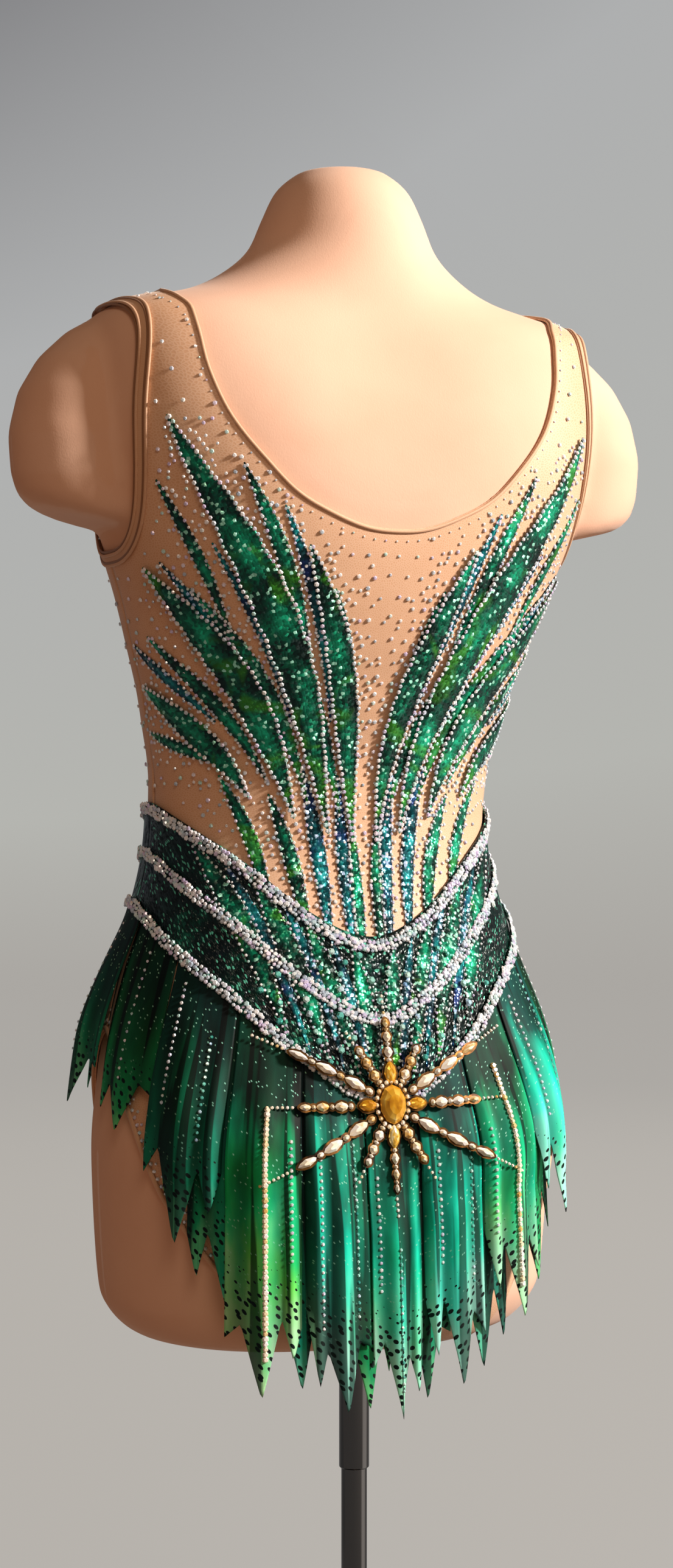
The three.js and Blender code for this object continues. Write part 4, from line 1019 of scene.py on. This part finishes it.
def petalPoints(centreTurn, halfTurn, hem, ridge, depth, across, v):
    # straight down from the seam to a toothed hem, with a pleat's ridge at each tooth
    rest, rise, bulge = skirt["layers"][depth]
    turn = centreTurn + across * halfTurn
    top = skirtSeam(turn) - 0.3
    height = top + (hem - top) * v
    off = liftShare(turn, height)
    flutes = skirt["flute"][depth] * off * ridge * (0.4 + 0.6 * v)
    distance = rest + 1 + off * rise + off * bulge * (1 - across**2) + flutes
    return hung(turn, height, distance), turn, height


def addPetal(name, finish, centreTurn, halfTurn, tip, depth, tint, lines, teeth=1.0, rows=56):
    # lines are rows of stones as column, from, to, list, spacing and size
    v, across = np.linspace(0, 1, rows)[:, None], np.linspace(-1, 1, 33)[None]
    flip = 1 if random.uniform() < 0.5 else -1
    knots = np.array(skirt["hem"]["across"]) * flip
    heights = np.array(skirt["hem"]["height"]) * random.uniform(0.8, 1.25, len(knots)) * teeth
    order = np.argsort(knots)
    hem = tip + np.interp(across, knots[order], heights[order])
    ridge = np.sin(np.pi / 2 * np.interp(across, knots[order], np.array(skirt["hem"]["ridge"])[order]))
    points, turn, height = petalPoints(centreTurn, halfTurn - skirt["gap"] / 2, hem, ridge, depth, across, v)
    top = skirtSeam(turn)
    perTurn = perDegree(centreTurn, ringAt(body["fullLevel"]))
    uv = np.stack(np.broadcast_arrays((turn - centreTurn) * perTurn + 200 * centreTurn, top - height), -1)
    clothPiece(
        name, points, finish, skirt["thick"], ("hung", "backPanel" if abs(centreTurn) < 90 else "frontPanel"), uv,
        width=2 * (halfTurn - skirt["gap"] / 2) * perTurn * skirt["ease"],
        # fold holds painted shade for the pleats' valleys, fading in below the seam
        along=(top - height) / (top - tip), across=across, tint=tint, fold=(1 - ridge) / 2 * smoothstep(v, 0.02, 0.3))
    for column, low, high, out, spacing, size in lines:
        middle = points[:, column]
        normal = np.cross(points[:, column + 1] - points[:, column - 1], np.gradient(middle, axis=0))
        normal *= np.sign((normal[:, :2] * (middle[:, :2] - body["middle"])).sum(-1))[:, None]
        share = slice(int(low * rows), int(high * rows))
        centre, normal = resample(middle[share], unit(normal[share]), spacing)
        out.append((centre, normal, random.uniform(size * 0.85, size * 1.1, len(centre))))


goldRows, aquaRows = [], []
# the darker copy of the petal net, painted shade
shadedCloth = (skirtShaded, "skirt_dark")
reach, last = skirt["backReach"], len(skirt["innerTips"]) - 1
pitch = 2 * reach / len(skirt["outer"])
for i, (tip, tint, *rows) in enumerate(skirt["outer"]):
    lines = []
    for k, place in enumerate(rows):
        isGold = i in skirt["golden"] and k == 0
        out = goldRows if isGold else (aquaRows if (i + k) % 2 else skirtStones)
        lines.append((*place, out, *skirt["goldRow" if isGold else "smallRow"]))
    # the leftmost back petal takes the darker copy, as painted shade
    finish = (*((skirtBright, "skirt_cloth") if i else shadedCloth), f"back_petal_outer_{i + 1}")
    addPetal(f"petalOuter{i + 1}", finish, -reach + pitch * (i + 0.5), pitch / 2, tip, 1, tint, lines)
for i, tip in enumerate(skirt["innerTips"]):
    centreTurn = min(max(-reach + pitch * i, -reach + pitch / 4), reach - pitch / 4)
    half = pitch / 4 if i in (0, last) else pitch / 2
    finish = (*shadedCloth, f"back_petal_inner_{i + 1}")
    addPetal(f"petalInner{i + 1}", finish, centreTurn, half, tip, 0, i % 3 * 0.45, [])
pitch = (180 - reach) / len(skirt["frontTips"])
for side, word in ((1, "right"), (-1, "left")):
    for i, tip in enumerate(skirt["frontTips"]):
        lap = skirt["lap"] if i % 2 and i < len(skirt["frontTips"]) - 1 else 0
        line = (*skirt["frontRow"][:3], skirtStones, *skirt["frontRow"][3:])
        addPetal(f"petalFront{word.title()}{i + 1}", (*shadedCloth, f"front_petal_{word}_{i + 1}"),
                 side * (reach + pitch * (i + 0.5)), pitch / 2 + lap, tip, i % 2, i % 3 * 0.4, [line],
                 skirt["frontTeeth"], 34)
print("petals made")

# sunburst: a stone's profile holds (share of its outline, height) from the back up
burst = {
    "level": 398, "rays": 12, "wide": 78, "high": 52, "shorter": 0.72, "start": 13, "offset": 7.2,
    "room": (12.5, 1.5),  # before the first bead, where a pear stone stands there and where none does
    "chain": [  # share of the ray, width, pointed
        (0.10, 4.0, 0), (0.27, 6.2, 1), (0.09, 3.4, 0), (0.25, 5.6, 1), (0.08, 3.0, 0), (0.21, 4.4, 1)],
    "pears": [  # angle, distance, length, width
        (0, 19, 14, 8.5), (math.pi / 2, 16.5, 12, 7.5), (math.pi, 19, 14, 8.5), (-math.pi / 2, 16.5, 12, 7.5)],
    "bead": [(0.94, 0.7), (1.0, 1.2), (0.42, 3.4)],
    "pear": [(0.94, 0.7), (1.0, 1.6), (0.74, 3.0), (0.4, 3.7)],
    "middle": (24, 18.4, [(0.94, 1.2), (1.0, 2.4), (0.8, 4.9), (0.52, 6.6), (0.24, 7.1)]),
    "ring": (20, 10.9, 13.9, 2.9, [(0.94, 1.2), (1.0, 1.8), (0.5, 3.0)]),  # small stones: count, radii, size, profile
    "cup": [(0.9, 0.0), (1.0, 0.9)], "cupRim": 2.4, "pearRim": 2.6, "plate": (30, 24, [(0.9, 0.0), (1.0, 1.4)]),
    "thread": (3.0, 2.3, 1.3),  # small stones beyond each ray: spacing, size, and how far as a share of the ray
    "cupOff": 1.4,
}
spray = {
    "count": 110, "near": 32, "far": 112, "half": 1.2, "clear": 6.5, "size": (3.4, 5.2), "apart": 6.5, "off": 1.3,
}
field = {  # ranges as first, end and step
    "levels": (470, 880, 13), "back": (-88, 88, 6.2), "front": (94, 266, 8.0), "stray": (0.4, 1.0),
    "apart": 3.4, "clear": 6, "size": (2.1, 3.3),
}


def thinned(places, apart):
    # drops each place that an earlier one comes too near to, measured on the body
    points = lifted(places[:, 0], places[:, 1], 2.0)
    gaps = np.linalg.norm(points[:, None] - points[None], axis=-1)
    near = np.triu(gaps < apart, 1)
    return places[~near.any(0)]


def burstPlace(x, z, extra):
    # x and z in the brooch's plane, bent round the body and lifted clear of the skirt
    level = burst["level"] + z
    turn = x / perDegree(0.0, ringAt(level))
    rest, rise, bulge = skirt["layers"][1]
    onSkirt = rest + 1 + liftShare(turn, level) * (rise + bulge)
    return hung(turn, level, np.maximum(burst["offset"], onSkirt) + burst["cupOff"] + extra)


def navette(length, width, profile, centre, angle, pointed=1.0, corners=12):
    # loops of (cos k, sin k |sin k|^0.6) for a pointed stone, or an ellipse where pointed is nought
    k = circle(corners)
    outline = np.stack([np.cos(k) * length / 2, np.sin(k) * np.abs(np.sin(k)) ** (0.6 * pointed) * width / 2], -1)
    loops = []
    for share, up in profile:
        along, aside = outline[:, 0] * share, outline[:, 1] * share
        x = centre[0] + along * np.sin(angle) + aside * np.cos(angle)
        z = centre[1] + along * np.cos(angle) - aside * np.sin(angle)
        loops.append(burstPlace(x, z, up))
    low, high = (burstPlace(np.array([centre[0]]), np.array([centre[1]]), profile[k][1])[0] for k in (0, -1))
    return closedLoops(np.array(loops), low, high)


def joined(name, parts, material, slot, node=None):
    tones = [np.clip(random.uniform(0, 1) + random.normal(0, 0.22, len(p)), 0, 1) for p, _ in parts]
    piece = makeMesh(name, *joinParts(parts), attributes={"tone": np.concatenate(tones)}, smooth=False)
    dress(piece, material, slot, node)


def makeRays(beads, cups):
    # each ray is a chain of stones in cups, with a thread of small stones beyond it
    for i in range(burst["rays"]):
        angle = i / burst["rays"] * 2 * math.pi
        reach = 1 / math.hypot(math.sin(angle) / burst["wide"], math.cos(angle) / burst["high"])
        reach *= burst["shorter"] if i % 2 else 1
        at = burst["start"] + burst["room"][i % 3 > 0]
        whole = reach - at
        for share, wide, pointed in burst["chain"]:
            size = share * whole
            place = ((at + size / 2) * math.sin(angle), (at + size / 2) * math.cos(angle))
            beads.append(navette(size * 0.98, wide, burst["bead"], place, angle, pointed, 8))
            rim = burst["cupRim"]
            cups.append(navette(size + rim, wide + rim, burst["cup"], place, angle, pointed * 0.7))
            at += size
        spacing, size, far = burst["thread"]
        run = np.linspace(reach + 2, reach * far, 30)
        low, high = (burstPlace(run * math.sin(angle), run * math.cos(angle), extra) for extra in (-0.6, 0.4))
        goldRows.append((*resample(low, unit(high - low), spacing), size))


def makeBurst():
    beads, cups, pears = [], [], []
    makeRays(beads, cups)
    for angle, at, long, wide in burst["pears"]:
        place = (at * math.sin(angle), at * math.cos(angle))
        pears.append(navette(long, wide, burst["pear"], place, angle, 0.7))
        cups.append(navette(long + burst["pearRim"], wide + burst["pearRim"], burst["cup"], place, angle, 0.6))
    cups.append(navette(*burst["plate"], (0, 0), 0.0, 0, 24))
    count, across, up, size, profile = burst["ring"]
    for around in np.arange(count) / count * 2 * math.pi:
        place = (across * math.sin(around), up * math.cos(around))
        beads.append(navette(size, size, profile, place, around, 0, 8))
    addSpray()
    joined("sunburstRays", beads, goldStones, "gold_beads", "sunburst")
    joined("sunburstCups", cups, bronze, "gold_beads")
    joined("sunburstPears", pears, amberGlass, "amber_stone")
    joined("centreStone", [navette(*burst["middle"], (0, 0), 0.0, 0, 10)], amberGlass, "amber_stone", "centre_stone")


def addSpray():
    # larger aqua stones fanwise on the yoke, clear of its bands
    angle = random.uniform(-spray["half"], spray["half"], spray["count"])
    far = random.uniform(spray["near"], spray["far"], spray["count"])
    level = burst["level"] + far * np.cos(angle)
    turn = far * np.sin(angle) / 1.9  # some 1.9 mm for a degree at the hips
    low, high = skirtSeam(turn), yokeTop(turn)
    share = (high - level) / (high - low)
    off = np.min([np.abs(share - place) for place, _ in band["places"].values()], axis=0) * (high - low)
    free = (off > spray["clear"]) & (share > 0) & (share < 1)
    turn, level = thinned(np.stack([turn[free], level[free]], -1), spray["apart"]).T
    aquaRows.append((*onBody(turn, level, layer["onYoke"] + spray["off"]), random.uniform(*spray["size"], len(turn))))


def looseStones():
    # a staggered field over the mesh, and the haloes beside the blades
    places = []
    for row, level in enumerate(np.arange(*field["levels"])):
        turn = np.concatenate([np.arange(*field["back"]), np.arange(*field["front"])])
        turn = turn + (row % 2) * field["back"][2] / 2
        strayTurn, strayLevel = (random.normal(0, far, len(turn)) for far in field["stray"])
        places.append(np.stack([turn + strayTurn, level + strayLevel], -1))
    turn, level = thinned(np.concatenate(places + haloPlaces), field["apart"]).T
    clear = np.minimum(insideSuit(turn, ringAt(level)), level - yokeTop(turn))
    turn, level = turn[clear > field["clear"]], level[clear > field["clear"]]
    return (*onBody(turn, level, layer["stones"]), random.uniform(*field["size"], len(turn)))


makeBurst()
print("sunburst made")
stonePiece("silverStonesBodice", bodiceStones + [looseStones()], silverStones, "silver_stones")
stonePiece("silverStonesBands", bandStones, silverStones, "silver_stones")
stonePiece("silverStonesSkirt", skirtStones, silverStones, "silver_stones")
stonePiece("aquaStonesSkirt", aquaRows, aquaStones, "silver_stones")
stonePiece("goldStonesAll", goldRows, goldStones, "gold_beads", height=0.5)
print("stones made")

# stage, light and camera
stage = {
    "flat": 6.0, "curve": 3.0, "height": 12.0, "glow": 0.84, "paper": "#3c3c3b",
    "low": "#b4b1ac", "middle": "#c0c1bc", "high": "#b9bbbc", "top": "#808185",  # the wash, from the floor up
    "bounce": "#77491f", "mirrored": "#666a6e", "panel": "#ffffff", "panelAngle": -0.38,
}


def makeStage():
    # a round floor that curves up into a wall, in metres
    far = stage["flat"] + stage["curve"]
    flat = [(0.001, 0.0)] + [(r, 0.0) for r in np.linspace(0.4, stage["flat"], 12)]
    bend = [(stage["flat"] + stage["curve"] * math.sin(a), stage["curve"] * (1 - math.cos(a)))
            for a in np.linspace(0.05, math.pi / 2, 32)]
    wall = [(far, z) for z in np.linspace(stage["curve"] + 0.4, stage["height"], 5)]
    floor = lathe("studioFloor", np.array(flat + bend + wall) * 1000, closed=False)
    # painted studio paper, lit by its own even wash that darkens a little with height
    material, add, onShader = newMaterial("paintedStudioPaper")
    place = add("SeparateXYZ", {0: add("TexCoord").outputs["Object"]}).outputs
    lean = add("MapRange", {"Value": place["X"], "From Min": 2.0, "From Max": 5.4, "To Min": 1.35, "To Max": 0.6})
    level = add("Math", {0: lean, 1: place["Z"]}, operation="MULTIPLY")
    share = add("MapRange", {"Value": level, "From Max": 5.3})
    wash = add("ValToRGB", {"Fac": share}, [
        (0.0, stage["low"]), (0.12, stage["middle"]), (0.55, stage["high"]), (1.0, stage["top"])])
    # metal and stones mirror a dull room with one tall bright panel on the right
    around = add("Math", {0: place["Y"], 1: place["X"]}, operation="ARCTAN2")
    aside = add("Math", {0: around, 1: stage["panelAngle"]}, operation="SUBTRACT")
    off = add("Math", {0: aside}, operation="ABSOLUTE")
    panel = add("MapRange", {"Value": off, "From Min": 0.28, "From Max": 0.46, "To Min": 1.0, "To Max": 0.0})
    room = add("Mix", {0: panel, 6: stage["mirrored"], 7: stage["panel"]}, data_type="RGBA")
    rays = add("LightPath").outputs
    glossy = add("Mix", {0: rays["Is Glossy Ray"], 6: wash, 7: room}, data_type="RGBA")
    # cloth is lit by the studio's warm bounce, not by the pale wash
    seen = add("Mix", {0: rays["Is Diffuse Ray"], 6: glossy, 7: stage["bounce"]}, data_type="RGBA")
    onShader({
        "Emission Color": seen, "Emission Strength": stage["glow"], "Base Color": stage["paper"], "Roughness": 0.95})
    floor.data.materials.append(material)


makeStage()


def addLight(name, place, size, power, code, target=(0, 0.05, 0.65)):
    data = bpy.data.lights.new(name, "AREA")
    data.shape = "DISK"
    data.size = size
    data.energy = power
    data.color = colour(code)[:3]
    lamp = bpy.data.objects.new(name, data)
    lamp.location = place
    direction = np.array(target) - np.array(place)
    tilt, turn = math.atan2(math.hypot(*direction[:2]), -direction[2]), math.atan2(-direction[0], direction[1])
    lamp.rotation_euler = (tilt, 0, turn)
    bpy.context.scene.collection.objects.link(lamp)


lights = {  # place, diameter in metres, watts, colour; all face the waist
    "keyRight": ((2.25, -1.8, 2.05), 0.45, 208, "#fff2e8"),
    "fillHigh": ((-0.5, -2.1, 2.2), 1.0, 11, "#ffe4c8"),
    "rimBack": ((1.4, 2.6, 1.9), 1.6, 36, "#fff2e0"),
}
for name, settings in lights.items():
    addLight(name, *settings)
world = bpy.data.worlds.new("studio")
world.use_nodes = True
setInputs(world.node_tree, world.node_tree.nodes["Background"], {"Color": "#b89a78", "Strength": 0.1})
bpy.context.scene.world = world
bpy.context.scene.view_settings.view_transform = "Standard"  # colours as they are given

view = {"azimuth": -23, "distance": 1.8, "height": 0.6, "aside": 0.0113, "middle": 0.058, "lens": 62.1}
cameraData = bpy.data.cameras.new("camera")
cameraData.sensor_fit = "VERTICAL"
cameraData.sensor_height = 36
cameraData.lens = view["lens"]
camera = bpy.data.objects.new("camera", cameraData)
angle = math.radians(view["azimuth"])
ahead, right = (-math.sin(angle), math.cos(angle)), (math.cos(angle), math.sin(angle))
camera.location = (
    right[0] * view["aside"] - ahead[0] * view["distance"],
    view["middle"] + right[1] * view["aside"] - ahead[1] * view["distance"],
    view["height"],
)
camera.rotation_euler = (math.pi / 2, 0, angle)
bpy.context.scene.collection.objects.link(camera)
bpy.context.scene.camera = camera

print("scene made")
